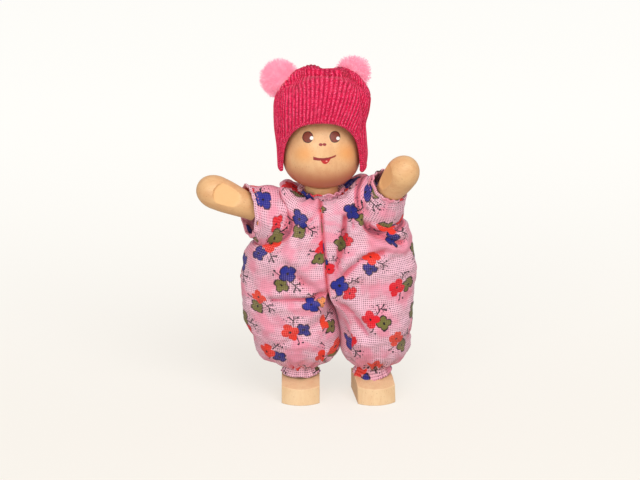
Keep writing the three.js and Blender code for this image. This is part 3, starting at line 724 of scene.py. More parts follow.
@dataclass(frozen=True)
class RomperCotton:
    """Open plain-weave cotton, pink, with pale threads, patches of painted light, painted shade in its small
    gaps, grooves and folds, and the flower print.
    """

    name: str = "romper_cotton"
    thread: float = 0.58
    weave_depth: float = 0.09
    fuzz_size: float = 0.25
    fuzz_depth: float = 0.05
    # millimetres from one patch of cloth to the next, in tone and in painted light
    patch_size: float = 7.0
    pink: Colour = srgb(238, 146, 168)
    # coral for random patches of tone and for the painted shade in the folds
    coral: Colour = srgb(224, 100, 118)
    lilac: Colour = srgb(232, 156, 186)
    # pale threads, also the colour of the painted light and highlights on them
    pale: Colour = srgb(250, 212, 222)
    seam: Colour = srgb(132, 34, 68)
    # painted shade seen in the weave's gaps and between its threads
    gap: Colour = srgb(70, 26, 44)
    flowers: FlowerPrint = FlowerPrint()

    def make(self) -> Material:
        """Builds the material."""
        graph = Graph(self.name)
        cloth = graph.cloth()
        u, v, _ = graph.split(cloth)
        slub = graph.noise(graph.stretch(cloth, (0.3, 2.0, 1.0)), 1.2, 2) - 0.5
        wave_u = ((u + slub * 0.12) * (TURN / self.thread)).swing()
        wave_v = ((v + slub * 0.16) * (TURN / self.thread)).swing()
        holes = ((1.0 - wave_u) * (1.0 - wave_v)).rise(0.4, 0.8)
        crease = graph.attribute("crease")
        patch = graph.noise(cloth, self.patch_size, 2)
        # patches of painted light, where the threads are paler and the gaps darker; none in the painted fold
        # shade
        loose = patch.rise(0.38, 0.56) * crease.rise(0.6, 0.1)
        tone = graph.mix(patch.rise(0.35, 0.7), self.pink, self.lilac)
        tone = graph.mix(graph.noise(cloth, 9.0, 3).rise(0.5, 0.75) * 0.35, tone, self.coral)
        # painted shade in the pressed folds, along the seams and under the sleeves
        tone = graph.mix(crease.rise(0.0, 0.9) * 0.85, tone, self.coral)
        tone = graph.mix(crease.rise(1.0, 1.6) * 0.8, tone, self.seam)
        tone = graph.mix((loose * 0.6 + 0.1) * (wave_u.most(wave_v) * 0.6 + 0.3), tone, self.pale)
        printed, covered = self.flowers.draw(cloth, tone)
        bare = 1.0 - covered * 0.5
        # painted highlight on the tops of the threads
        bright = (wave_u * wave_v) ** 0.7
        colour = graph.mix(bright * bare * (loose * 0.3 + 0.06), printed, self.pale)
        # the painted shade in the gaps and grooves varies at random
        uneven_gap_shade = graph.noise(cloth, 1.3, 2).rise(0.35, 0.6) * 0.5 + 0.5
        # painted shade in the grooves between the threads
        lines = (1.0 - wave_v).rise(0.55, 1.0) * 0.22 + (1.0 - wave_u).rise(0.6, 1.0) * 0.1
        colour = graph.mix(lines * bare * (loose * 0.6 + 0.4) * uneven_gap_shade, colour, self.gap)
        colour = graph.mix(holes * bare * (loose * 0.9 + 0.22) * uneven_gap_shade, colour, self.gap)
        weave = graph.bump(wave_u * 0.5 + wave_v * 0.5, self.weave_depth, 0.6)
        fuzz = graph.bump(graph.noise(cloth, self.fuzz_size, 2), self.fuzz_depth, 0.3, weave)
        return graph.finish(
            colour, 0.9, fuzz, Sheen_Weight=0.1, Sheen_Roughness=0.5, Specular_IOR_Level=0.15
        )


@dataclass(frozen=True)
class RibKnit:
    """Fine ribbed knit: deep pink, with painted shade between the ribs and painted highlights on them, and
    small loops up each rib.
    """

    name: str
    base: Colour = srgb(235, 24, 80)
    bright: Colour = srgb(255, 112, 152)
    deep: Colour = srgb(158, 8, 52)
    course: float = 0.55
    speck_size: float = 0.35
    stitch_depth: float = 0.18
    fuzz_depth: float = 0.08

    def make(self) -> Material:
        """Builds the material."""
        graph = Graph(self.name)
        place = graph.place()
        rib = graph.attribute("rib") + (graph.noise(place, 1.4, 2) - 0.5) * 0.35
        _, _, z = graph.split(place)
        ridge = (rib * TURN).cosine() * 0.5 + 0.5
        loops = (z * (TURN / self.course) + abs((rib * TURN).sine()) * 1.6).swing()
        speck = graph.noise(place, self.speck_size, 3, 0.7)
        patch = graph.noise(place, 3.5, 2)
        clear = graph.noise(place, 0.9, 3).rise(0.36, 0.6) * 0.7 + 0.2
        # painted shade in the grooves between the ribs
        colour = graph.mix((ridge.rise(0.08, 0.5) - 1.0) * clear + 1.0, self.deep, self.base)
        # painted highlight on the ribs and their loops
        lit = ridge.rise(0.35, 0.9) * (loops * 0.6 + 0.4) * speck.rise(0.52, 0.44)
        colour = graph.mix(lit * 0.9, colour, self.bright)
        colour = graph.mix(speck.rise(0.5, 0.6) * 0.75, colour, self.deep)
        colour = graph.mix(patch.rise(0.55, 0.8) * 0.2, colour, self.bright)
        stitch = graph.bump(ridge * 0.6 + loops * 0.4 * ridge, self.stitch_depth, 0.8)
        fuzz = graph.bump(speck, self.fuzz_depth, 0.5, stitch)
        return graph.finish(
            colour, 0.95, fuzz, Sheen_Weight=0.12, Sheen_Roughness=0.6, Specular_IOR_Level=0.1
        )


@dataclass(frozen=True)
class SoftYarn:
    """Fluffy yarn or wound cotton: one colour, paler and darker in uneven patches."""

    name: str
    base: Colour
    pale: Colour
    deep: Colour
    size: float = 0.7
    # a painted glow in the yarn's own colour, standing in for light that comes through the thin fibres
    glow: float = 0.0

    def make(self) -> Material:
        """Builds the material."""
        graph = Graph(self.name)
        place = graph.place()
        broad = graph.noise(place, self.size * 3, 2)
        fine = graph.noise(place, self.size * 0.5, 2)
        colour = graph.mix(broad.rise(0.4, 0.7), self.base, self.pale)
        colour = graph.mix(fine.rise(0.6, 0.85) * 0.5, colour, self.deep)
        return graph.finish(
            colour,
            0.95,
            graph.bump(fine, 0.06, 0.4),
            Sheen_Weight=0.2,
            Sheen_Roughness=0.5,
            Specular_IOR_Level=0.1,
            # the painted glow
            Emission_Color=self.base,
            Emission_Strength=self.glow,
        )


@dataclass
class GridSurface:
    """A surface of rows of points, closed round each row.

    Attributes:
        points: Rows by columns by three numbers, in doll millimetres.
        uv: Rows by columns plus one by two numbers, in millimetres of flat cloth.
        marks: Numbers for each point that the finishes read, by name.
    """

    points: Array
    uv: Array | None = None
    marks: dict[str, Array] = field(default_factory=dict)

    def crossed(self) -> Array:
        """The way round each row crossed with the way up, at each point."""
        p = self.points
        return np.cross(np.roll(p, -1, 1) - np.roll(p, 1, 1), np.gradient(p, axis=0))

    def outward(self) -> float:
        """1 where crossed() points away from each row's middle, else -1."""
        away = self.points - self.points.mean(axis=1, keepdims=True)
        return 1.0 if (self.crossed() * away).sum() > 0 else -1.0

    def normals(self) -> Array:
        """Unit normals that face away from each row's middle."""
        normal = self.crossed()
        length = norm(normal, axis=2, keepdims=True)
        return normal / np.maximum(length, 1e-9) * self.outward()

    def push(self, amount: Array) -> None:
        """Moves each point along its normal."""
        self.points = self.points + self.normals() * amount[..., None]

    def lay_flat(self, middle: int, start: Pair = (0.0, 0.0), even: bool = False) -> None:
        """Gives the surface its cloth coordinates, round each row and down one column.

        Args:
            middle: The column that runs straight down the cloth.
            start: The cloth coordinates of the first row's point there.
            even: Whether each row is stretched to the same length, as on a gathered tube.
        """
        p = self.points
        ring = np.concatenate([p, p[:, :1]], axis=1)
        around = norm(np.diff(ring, axis=1), axis=2)
        if even:
            around = np.broadcast_to(around.mean(axis=0), around.shape)
        u = np.concatenate([np.zeros((len(p), 1)), np.cumsum(around, axis=1)], axis=1)
        u = u - u[:, middle : middle + 1]
        down = norm(np.diff(p[:, middle], axis=0), axis=1)
        v = np.concatenate([[0], np.cumsum(down)])
        self.uv = np.stack([u + start[0], np.broadcast_to(-v[:, None] + start[1], u.shape)], axis=2)

    def build(
        self,
        name: str,
        space: DollSpace,
        material: Material,
        caps: tuple[bool, bool] = (False, False),
        keep: Array | None = None,
        sharp: float = 50,
    ) -> Object:
        """Makes the mesh object.

        Args:
            name: Its name.
            space: The doll's space.
            material: Its material.
            caps: Whether the first and the last row are closed.
            keep: Which faces stay, rows less one by columns.
            sharp: Edges bent by more degrees than this stay sharp.

        Returns:
            The object, in its place in the frame.
        """
        rows, columns, _ = self.points.shape
        outwards = self.outward() > 0
        r, c = np.meshgrid(np.arange(rows - 1), np.arange(columns), indexing="ij")
        n = (c + 1) % columns
        kept = np.ones(r.shape, bool) if keep is None else keep
        corners = [r * columns + c, r * columns + n, (r + 1) * columns + n, (r + 1) * columns + c]
        quads = np.stack(corners, -1)[kept]
        if not outwards:
            quads = quads[:, ::-1]
        faces = quads.tolist()
        ring = list(range(columns))
        if caps[0]:
            faces.append(ring[::-1] if outwards else ring)
        if caps[1]:
            last = [(rows - 1) * columns + step for step in ring]
            faces.append(last if outwards else last[::-1])
        mesh = bpy.data.meshes.new(name)
        mesh.from_pydata(space.metres(self.points.reshape(-1, 3)).tolist(), [], faces)
        if self.uv is not None:
            corner_uv = [self.uv[r, c], self.uv[r, c + 1], self.uv[r + 1, c + 1], self.uv[r + 1, c]]
            corner_uv = np.stack(corner_uv, axis=2)[kept]
            if not outwards:
                corner_uv = corner_uv[:, ::-1]
            flat = np.zeros((len(mesh.loops), 2), np.float32)
            flat[: corner_uv.size // 2] = corner_uv.reshape(-1, 2)
            mesh.uv_layers.new(name="cloth").uv.foreach_set("vector", flat.ravel())
        for key, values in self.marks.items():
            mark = mesh.attributes.new(key, "FLOAT", "POINT")
            mark.data.foreach_set("value", values.reshape(-1).astype(np.float32))
        return link_mesh(name, mesh, material, sharp)


def link_new(name: str, data: bpy.types.ID) -> Object:
    """A new object in the scene that shows the data."""
    made = bpy.data.objects.new(name, data)
    bpy.context.scene.collection.objects.link(made)
    return made


def link_mesh(name: str, mesh: Mesh, material: Material, sharp: float) -> Object:
    """Links a mesh as a smooth-shaded object.

    Args:
        name: The object's name.
        mesh: Its mesh, in the frame's metres.
        material: Its material.
        sharp: Edges bent by more degrees than this stay sharp.

    Returns:
        The object.
    """
    trim = bmesh.new()
    trim.from_mesh(mesh)
    loose = [vertex for vertex in trim.verts if not vertex.link_faces]
    bmesh.ops.delete(trim, geom=loose, context="VERTS")
    trim.to_mesh(mesh)
    trim.free()
    mesh.polygons.foreach_set("use_smooth", [True] * len(mesh.polygons))
    mesh.set_sharp_from_angle(angle=math.radians(sharp))
    mesh.materials.append(material)
    return link_new(name, mesh)


def settle(made: Object) -> None:
    """Turns an object's modifiers into plain mesh and takes them off."""
    depsgraph = bpy.context.evaluated_depsgraph_get()
    mesh = bpy.data.meshes.new_from_object(
        made.evaluated_get(depsgraph), preserve_all_data_layers=True, depsgraph=depsgraph
    )
    made.modifiers.clear()
    made.data = mesh


def thicken(made: Object, wall: float) -> None:
    """Gives an open cloth surface a wall inwards, in millimetres."""
    solidify = made.modifiers.new("wall", "SOLIDIFY")
    solidify.thickness = wall * MM
    solidify.offset = -1
    settle(made)


def turned(profile: list[Pair], segments: int) -> GridSurface:
    """A surface turned round the Z axis.

    Args:
        profile: Radius and height pairs from the bottom up; a radius of 0 is a pole.
        segments: Columns round it.

    Returns:
        The surface.
    """
    angles = np.arange(segments) * TURN / segments
    rows = [
        np.stack([r * np.cos(angles), r * np.sin(angles), np.full(segments, h)], axis=1)
        for r, h in ((max(r, POLE_RADIUS), h) for r, h in profile)
    ]
    return GridSurface(np.array(rows))


class GeometryTree(NodeTree):
    """A Geometry Nodes tree with named inputs, run once on an object and then settled."""

    def __init__(self, name: str, inputs: dict[str, tuple[str, float | int]]) -> None:
        """Starts a tree.

        Args:
            name: Its name.
            inputs: Socket type and default of each input beside the geometry and the material.
        """
        super().__init__(bpy.data.node_groups.new(name, "GeometryNodeTree"))
        face = self.tree.interface
        face.new_socket("Geometry", in_out="INPUT", socket_type="NodeSocketGeometry")
        self.sockets = {}
        for key, (kind, value) in inputs.items():
            socket = face.new_socket(key, in_out="INPUT", socket_type=kind)
            socket.default_value = value
            self.sockets[key] = socket.identifier
        material = face.new_socket("Material", in_out="INPUT", socket_type="NodeSocketMaterial")
        self.sockets["Material"] = material.identifier
        face.new_socket("Geometry", in_out="OUTPUT", socket_type="NodeSocketGeometry")
        self.source = self.node("NodeGroupInput")

    def given(self, name: str) -> Wire:
        """One of the tree's inputs."""
        return Wire(self, self.source.outputs[name])

    def end(self, geometry: Wire) -> None:
        """Realizes instances, sets the material and closes the tree."""
        real = self.wire("GeometryNodeRealizeInstances", None, {0: geometry})
        inputs = {"Geometry": real, "Material": self.given("Material")}
        self.node("NodeGroupOutput", None, {0: self.wire("GeometryNodeSetMaterial", None, inputs)})

    def run(self, made: Object, material: Material, **values: float | int) -> None:
        """Runs the tree on an object.

        Args:
            made: The object, which keeps the result as plain mesh.
            material: The material of what the tree makes.
            values: Inputs by name, with underscores for spaces.
        """
        modifier = made.modifiers.new(self.tree.name, "NODES")
        modifier.node_group = self.tree
        modifier[self.sockets["Material"]] = material
        for key, value in values.items():
            modifier[self.sockets[key.replace("_", " ")]] = value
        settle(made)


def rib_tree() -> GeometryTree:
    """Knit ribs: raises the surface along the "rib" attribute, one rib for each whole number.

    Returns:
        The tree.
    """
    tree = GeometryTree("knit_ribs", {"Rib Depth": ("NodeSocketFloat", 0.0002)})
    rib = tree.wire("GeometryNodeInputNamedAttribute", {"data_type": "FLOAT"}, {"Name": "rib"})
    # a power under 1 leaves broad ribs and narrow grooves
    height = ((rib * TURN).cosine() * 0.5 + 0.5) ** 0.6 * tree.given("Rib Depth")
    normal = tree.wire("GeometryNodeInputNormal")
    offset = tree.wire("ShaderNodeVectorMath", {"operation": "SCALE"}, {0: normal, "Scale": height})
    moved = {"Geometry": tree.given("Geometry"), "Offset": offset}
    tree.end(tree.wire("GeometryNodeSetPosition", None, moved))
    return tree


def fibre_tree() -> GeometryTree:
    """Yarn fibres: bent, tapered strands that stand out of a surface, with their surface kept.

    Returns:
        The tree.
    """
    tree = GeometryTree(
        "yarn_fibres",
        {
            "Density": ("NodeSocketFloat", 1e7),
            "Length": ("NodeSocketFloat", 0.001),
            "Thickness": ("NodeSocketFloat", 0.00005),
            "Tilt": ("NodeSocketFloat", 0.5),
            "Seed": ("NodeSocketInt", 1),
        },
    )
    surface, density, length = (tree.given(name) for name in ("Geometry", "Density", "Length"))
    thickness, tilt, seed = (tree.given(name) for name in ("Thickness", "Tilt", "Seed"))
    spread = tree.node(
        "GeometryNodeDistributePointsOnFaces",
        {"distribute_method": "RANDOM"},
        {"Mesh": surface, "Density": density, "Seed": seed},
    )
    # one strand of unit length, which the instances scale
    bend = {
        "Resolution": 3,
        "Start": (0, 0, 0),
        "Start Handle": (0, 0, 0.4),
        "End Handle": (0.1, 0, 0.8),
        "End": (0.3, 0, 1),
    }
    strand = tree.wire("GeometryNodeCurvePrimitiveBezierSegment", None, bend)
    taper = tree.wire("GeometryNodeSplineParameter") * -0.75 + 1.0
    tapered = tree.wire("GeometryNodeSetCurveRadius", None, {"Curve": strand, "Radius": taper})
    circle = {"Resolution": 3, "Radius": 1.0}
    section = tree.wire("GeometryNodeCurvePrimitiveCircle", {"mode": "RADIUS"}, circle)
    share = thickness / length
    thin = {"Geometry": section, "Scale": tree.join(share, share, 1.0)}
    thin = tree.wire("GeometryNodeTransform", None, thin)
    fibre = tree.wire("GeometryNodeCurveToMesh", None, {"Curve": tapered, "Profile Curve": thin})
    lowest = tree.join(tilt * -1.0, tilt * -1.0, -math.pi)
    highest = tree.join(tilt, tilt, math.pi)
    lean = {0: lowest, 1: highest, "Seed": seed}
    lean = tree.wire("FunctionNodeRandomValue", {"data_type": "FLOAT_VECTOR"}, lean)
    turn = tree.wire("FunctionNodeEulerToRotation", None, {0: lean})
    turn = {0: spread.outputs["Rotation"], 1: turn}
    turn = tree.wire("FunctionNodeRotateRotation", {"rotation_space": "LOCAL"}, turn)
    grow = {2: 0.55, 3: 1.15, "Seed": 7}
    grow = tree.wire("FunctionNodeRandomValue", {"data_type": "FLOAT"}, grow, 1)
    laid = {
        "Points": spread.outputs["Points"],
        "Instance": fibre,
        "Rotation": turn,
        "Scale": grow * length,
    }
    laid = tree.wire("GeometryNodeInstanceOnPoints", None, laid)
    joined = tree.node("GeometryNodeJoinGeometry")
    for part in (laid, surface):
        tree.tree.links.new(part.socket, joined.inputs[0])
    tree.end(Wire(tree, joined.outputs[0]))
    return tree


def stitch_tree() -> GeometryTree:
    """Running stitches: short thread capsules laid along an edge path.

    Returns:
        The tree.
    """
    tree = GeometryTree(
        "running_stitches",
        {
            "Spacing": ("NodeSocketFloat", 0.0012),
            "Stitch Length": ("NodeSocketFloat", 0.0008),
            "Thread": ("NodeSocketFloat", 0.0001),
        },
    )
    path = tree.wire("GeometryNodeMeshToCurve", None, {0: tree.given("Geometry")})
    along = {"Curve": path, "Length": tree.given("Spacing")}
    spots = tree.node("GeometryNodeCurveToPoints", {"mode": "LENGTH"}, along)
    ball = tree.wire("GeometryNodeMeshUVSphere", None, {"Segments": 6, "Rings": 5, "Radius": 0.5})
    thread = tree.given("Thread")
    laid = {
        "Points": spots.outputs["Points"],
        "Instance": ball,
        "Rotation": spots.outputs["Rotation"],
        "Scale": tree.join(thread, thread, tree.given("Stitch Length")),
    }
    tree.end(tree.wire("GeometryNodeInstanceOnPoints", None, laid))
    return tree


@dataclass
class WoodenParts:
    """The head, the neck, the hands and the feet, turned and sawn from pale wood."""

    space: DollSpace
    spine_x: float = -2.1
    head_ring_z: float = 69.9
    head_radius: float = 10.75
    head_drop: float = 8.3
    head_rise: float = 14.0
    jaw_power: float = 2.2
    dome_power: float = 2.3
    seat_margin: float = 0.5
    head_rows: int = 90
    dowel_radius: float = 4.6
    dowel_bottom_z: float = 43.9
    peg_radius: float = 2.0
    peg_length: float = 8.0

    @property
    def head_centre(self) -> Triple:
        """The middle of the head's widest ring."""
        return self.spine_x, 0.0, self.head_ring_z

    def head_radius_at(self, height: float) -> float:
        """Radius of the head at a height over its widest ring."""
        whole = self.head_drop if height < 0 else self.head_rise
        power = self.jaw_power if height < 0 else self.dome_power
        share = min(1.0, abs(height) / whole)
        return self.head_radius * (1 - share**power) ** (1 / power)

    @property
    def seat(self) -> float:
        """Height of the head's flat seat, from its widest ring."""
        share = (self.dowel_radius + self.seat_margin) / self.head_radius
        return -self.head_drop * (1 - share**self.jaw_power) ** (1 / self.jaw_power)

    def make_head(self, material: Material) -> None:
        """The turned head, with a softened edge round its seat."""
        edge = self.head_radius_at(self.seat)
        profile = [(0.0, self.seat), (edge - 0.35, self.seat), (edge - 0.1, self.seat + 0.08)]
        for step in range(1, self.head_rows):
            angle = -math.pi / 2 + math.pi * step / self.head_rows
            height = math.sin(angle) * (self.head_drop if angle < 0 else self.head_rise)
            if height > self.seat + 0.2:
                profile.append((self.head_radius_at(height), height))
        profile.append((0.0, self.head_rise))
        shape = turned(profile, 160)
        shape.points += np.array(self.head_centre)
        made = shape.build("head_turned", self.space, material, (True, True), sharp=40)
        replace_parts(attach(made, "head"), "head")

    def make_neck(self, material: Material) -> None:
        """The dowel that is both body and neck."""
        top = self.head_ring_z + self.seat - 0.3
        bottom, radius, peg_top = self.dowel_bottom_z, self.dowel_radius, top + self.peg_length
        profile = [(0.0, bottom), (radius - 0.5, bottom), (radius, bottom + 0.5)]
        profile += [(radius, top - 0.15), (radius - 0.15, top)]
        profile += [(self.peg_radius, top), (self.peg_radius, peg_top - 0.2), (0.0, peg_top)]
        shape = turned(profile, 96)
        shape.points += np.array([self.spine_x, 0, 0])
        made = shape.build("neck_dowel", self.space, material, (True, True), sharp=40)
        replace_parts(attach(made, "body"), "body_dowel")


@dataclass(frozen=True)
class ArmPose:
    """Where an arm starts and how it is held at rest."""

    side: Side
    x: float
    z: float
    raise_deg: float
    sweep_deg: float

    def whole(self) -> Array:
        """From a space whose Z runs out along the arm to the doll's."""
        sign = self.side.value
        turn = Matrix.Rotation(-sign * math.radians(self.sweep_deg), 4, "Z")
        turn = turn @ Matrix.Rotation(-sign * math.radians(self.raise_deg), 4, "Y")
        along = np.array([[0, 0, sign, 0], [0, 1, 0, 0], [-sign, 0, 0, 0], [0, 0, 0, 1]], float)
        return np.array(Matrix.Translation((self.x, 0, self.z)) @ turn) @ along

    def settle(self, shape: GridSurface) -> None:
        """Moves a surface turned round Z onto the arm, with Z running outwards."""
        whole = self.whole()
        shape.points = shape.points @ whole[:3, :3].T + whole[:3, 3]

    def local(self, p: Array) -> Array:
        """Points of the doll's space as seen from the arm, with Z running outwards."""
        whole = self.whole()
        return (p - whole[:3, 3]) @ whole[:3, :3]


ARMS = {
    Side.RIGHT: ArmPose(Side.RIGHT, -14.0, 51.5, 26, 6),
    Side.LEFT: ArmPose(Side.LEFT, 12.5, 53.5, 50, 52),
}
ANKLE_X = {Side.RIGHT: -7.9, Side.LEFT: 12.1}


@dataclass
class Hand:
    """A turned peg with a round end and a milled flat on the palm."""

    space: DollSpace
    pose: ArmPose
    bulb_radius: float = 4.68
    bulb_reach: float = 20.4
    wrist_radius: float = 3.5
    wrist_reach: float = 7.2
    flat_reach: float = 17.2
    flat_half: Pair = (4.1, 3.6)
    flat_turn: float = math.radians(20)
    # how much of the flat's width is level, and how much less deep than that it is sanded
    flat_level: float = 0.92
    flat_spare: float = 0.72
    shaft_rows: int = 40
    tip_rows: int = 30
    columns: int = 128

    def build(self, material: Material) -> None:
        """Makes the hand and rides it on its arm.

        Args:
            material: The wood.
        """
        knots = np.array([
            (self.wrist_radius - 0.1, self.wrist_reach),
            (self.wrist_radius + 0.05, self.wrist_reach + 2.0),
            (self.bulb_radius - 0.62, self.wrist_reach + 5.6),
            (self.bulb_radius - 0.16, self.bulb_reach - 4.0),
            (self.bulb_radius, self.bulb_reach - 1.0),
        ])
        profile = [(0.0, self.wrist_reach), (self.wrist_radius - 0.4, self.wrist_reach)]
        profile += [tuple(row) for row in spline(knots, self.shaft_rows)]
        for step in range(1, self.tip_rows):
            angle = math.pi / 2 * step / self.tip_rows
            profile.append((
                self.bulb_radius * math.cos(angle) ** 0.92,
                self.bulb_reach - 1.0 + (self.bulb_radius + 1.0) * math.sin(angle),
            ))
        profile.append((0.0, self.bulb_reach + self.bulb_radius))
        shape = turned(profile, self.columns)
        self.cut_flat(shape)
        self.pose.settle(shape)
        name = self.pose.side.word
        made = shape.build(f"hand_{name}_turned", self.space, material, (True, True), sharp=60)
        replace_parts(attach(made, f"arm_{name}"), f"hand_{name}")

    def cut_flat(self, shape: GridSurface) -> None:
        """Sands an oval flat into the palm, with a crisp rim."""
        sign = self.pose.side.value
        normal = np.array([-sign * math.sin(self.flat_turn), -math.cos(self.flat_turn), 0])
        side = np.array([-normal[1], normal[0], 0])
        p = shape.points
        along = (p[..., 2] - self.flat_reach) / self.flat_half[0]
        across = (p @ side) / self.flat_half[1]
        height = p @ normal
        inside = along**2 + across**2
        level_half = self.flat_level * self.flat_half[1]
        level = math.sqrt((self.bulb_radius - 0.25) ** 2 - level_half**2) + self.flat_spare
        over = np.where((height > level) & (inside < 1), height - level, 0)
        keep = smoothstep(inside, 1.0, 0.86)
        shape.marks["sanded"] = (over > 0) * keep
        shape.points = p - (over * keep)[..., None] * normal


@dataclass
class Foot:
    """A sawn block with a rounded toe, a steep front and a sloping instep."""

    space: DollSpace
    side: Side
    toe_out_deg: float
    width: float = 10.6
    toe_reach: float = 11.0
    heel_reach: float = 4.6
    toe_radius: float = 7.6
    crease_z: float = 4.5
    crease_reach: float = 10.2
    top_reach: float = 3.6
    height: float = 5.8
    toe_steps: int = 32
    eased: float = 0.14
    eased_from: float = math.radians(25)

    def build(self, material: Material) -> None:
        """Makes the foot and rides it on its ankle.

        Args:
            material: The wood.
        """
        half = self.width / 2
        corner = math.asin(half / self.toe_radius)
        centre = -self.toe_reach + self.toe_radius
        outline = [(half, self.heel_reach), (-half, self.heel_reach)]
        for step in range(self.toe_steps + 1):
            angle = -corner + 2 * corner * step / self.toe_steps
            outline.append((self.toe_radius * math.sin(angle), centre - self.toe_radius * math.cos(angle)))
        block = bmesh.new()
        lean = (self.toe_reach - self.crease_reach) * self.height / self.crease_z
        low = [block.verts.new((x, y, 0)) for x, y in outline]
        high = [block.verts.new((x, y + lean * (y < 0), self.height)) for x, y in outline]
        block.faces.new(low[::-1])
        block.faces.new(high)
        for step in range(len(outline)):
            after = (step + 1) % len(outline)
            block.faces.new((low[step], low[after], high[after], high[step]))
        bmesh.ops.recalc_face_normals(block, faces=block.faces)
        slope = Vector((0, self.crease_z - self.height, self.crease_reach - self.top_reach)).normalized()
        sliced = bmesh.ops.bisect_plane(
            block,
            geom=[*block.verts, *block.edges, *block.faces],
            plane_co=(0, -self.crease_reach, self.crease_z),
            plane_no=slope,
            clear_outer=True,
        )
        edges = [item for item in sliced["geom_cut"] if isinstance(item, bmesh.types.BMEdge)]
        bmesh.ops.edgenet_fill(block, edges=edges)
        bmesh.ops.recalc_face_normals(block, faces=block.faces)
        mesh = bpy.data.meshes.new(f"foot_{self.side.word}_sawn")
        turn = Matrix.Rotation(self.side.value * math.radians(self.toe_out_deg), 4, "Z")
        move = Matrix.Translation((ANKLE_X[self.side], 0, 0)) @ turn
        bmesh.ops.transform(block, matrix=move, verts=block.verts)
        for vertex in block.verts:
            vertex.co = Vector(self.space.metres(np.array(vertex.co)))
        block.to_mesh(mesh)
        block.free()
        made = link_mesh(mesh.name, mesh, material, 30)
        bevel = made.modifiers.new("eased", "BEVEL")
        bevel.width = self.eased * MM
        bevel.segments = 2
        bevel.limit_method = "ANGLE"
        bevel.angle_limit = self.eased_from
        settle(made)
        name = self.side.word
        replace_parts(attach(made, f"foot_{name}"), f"foot_{name}")


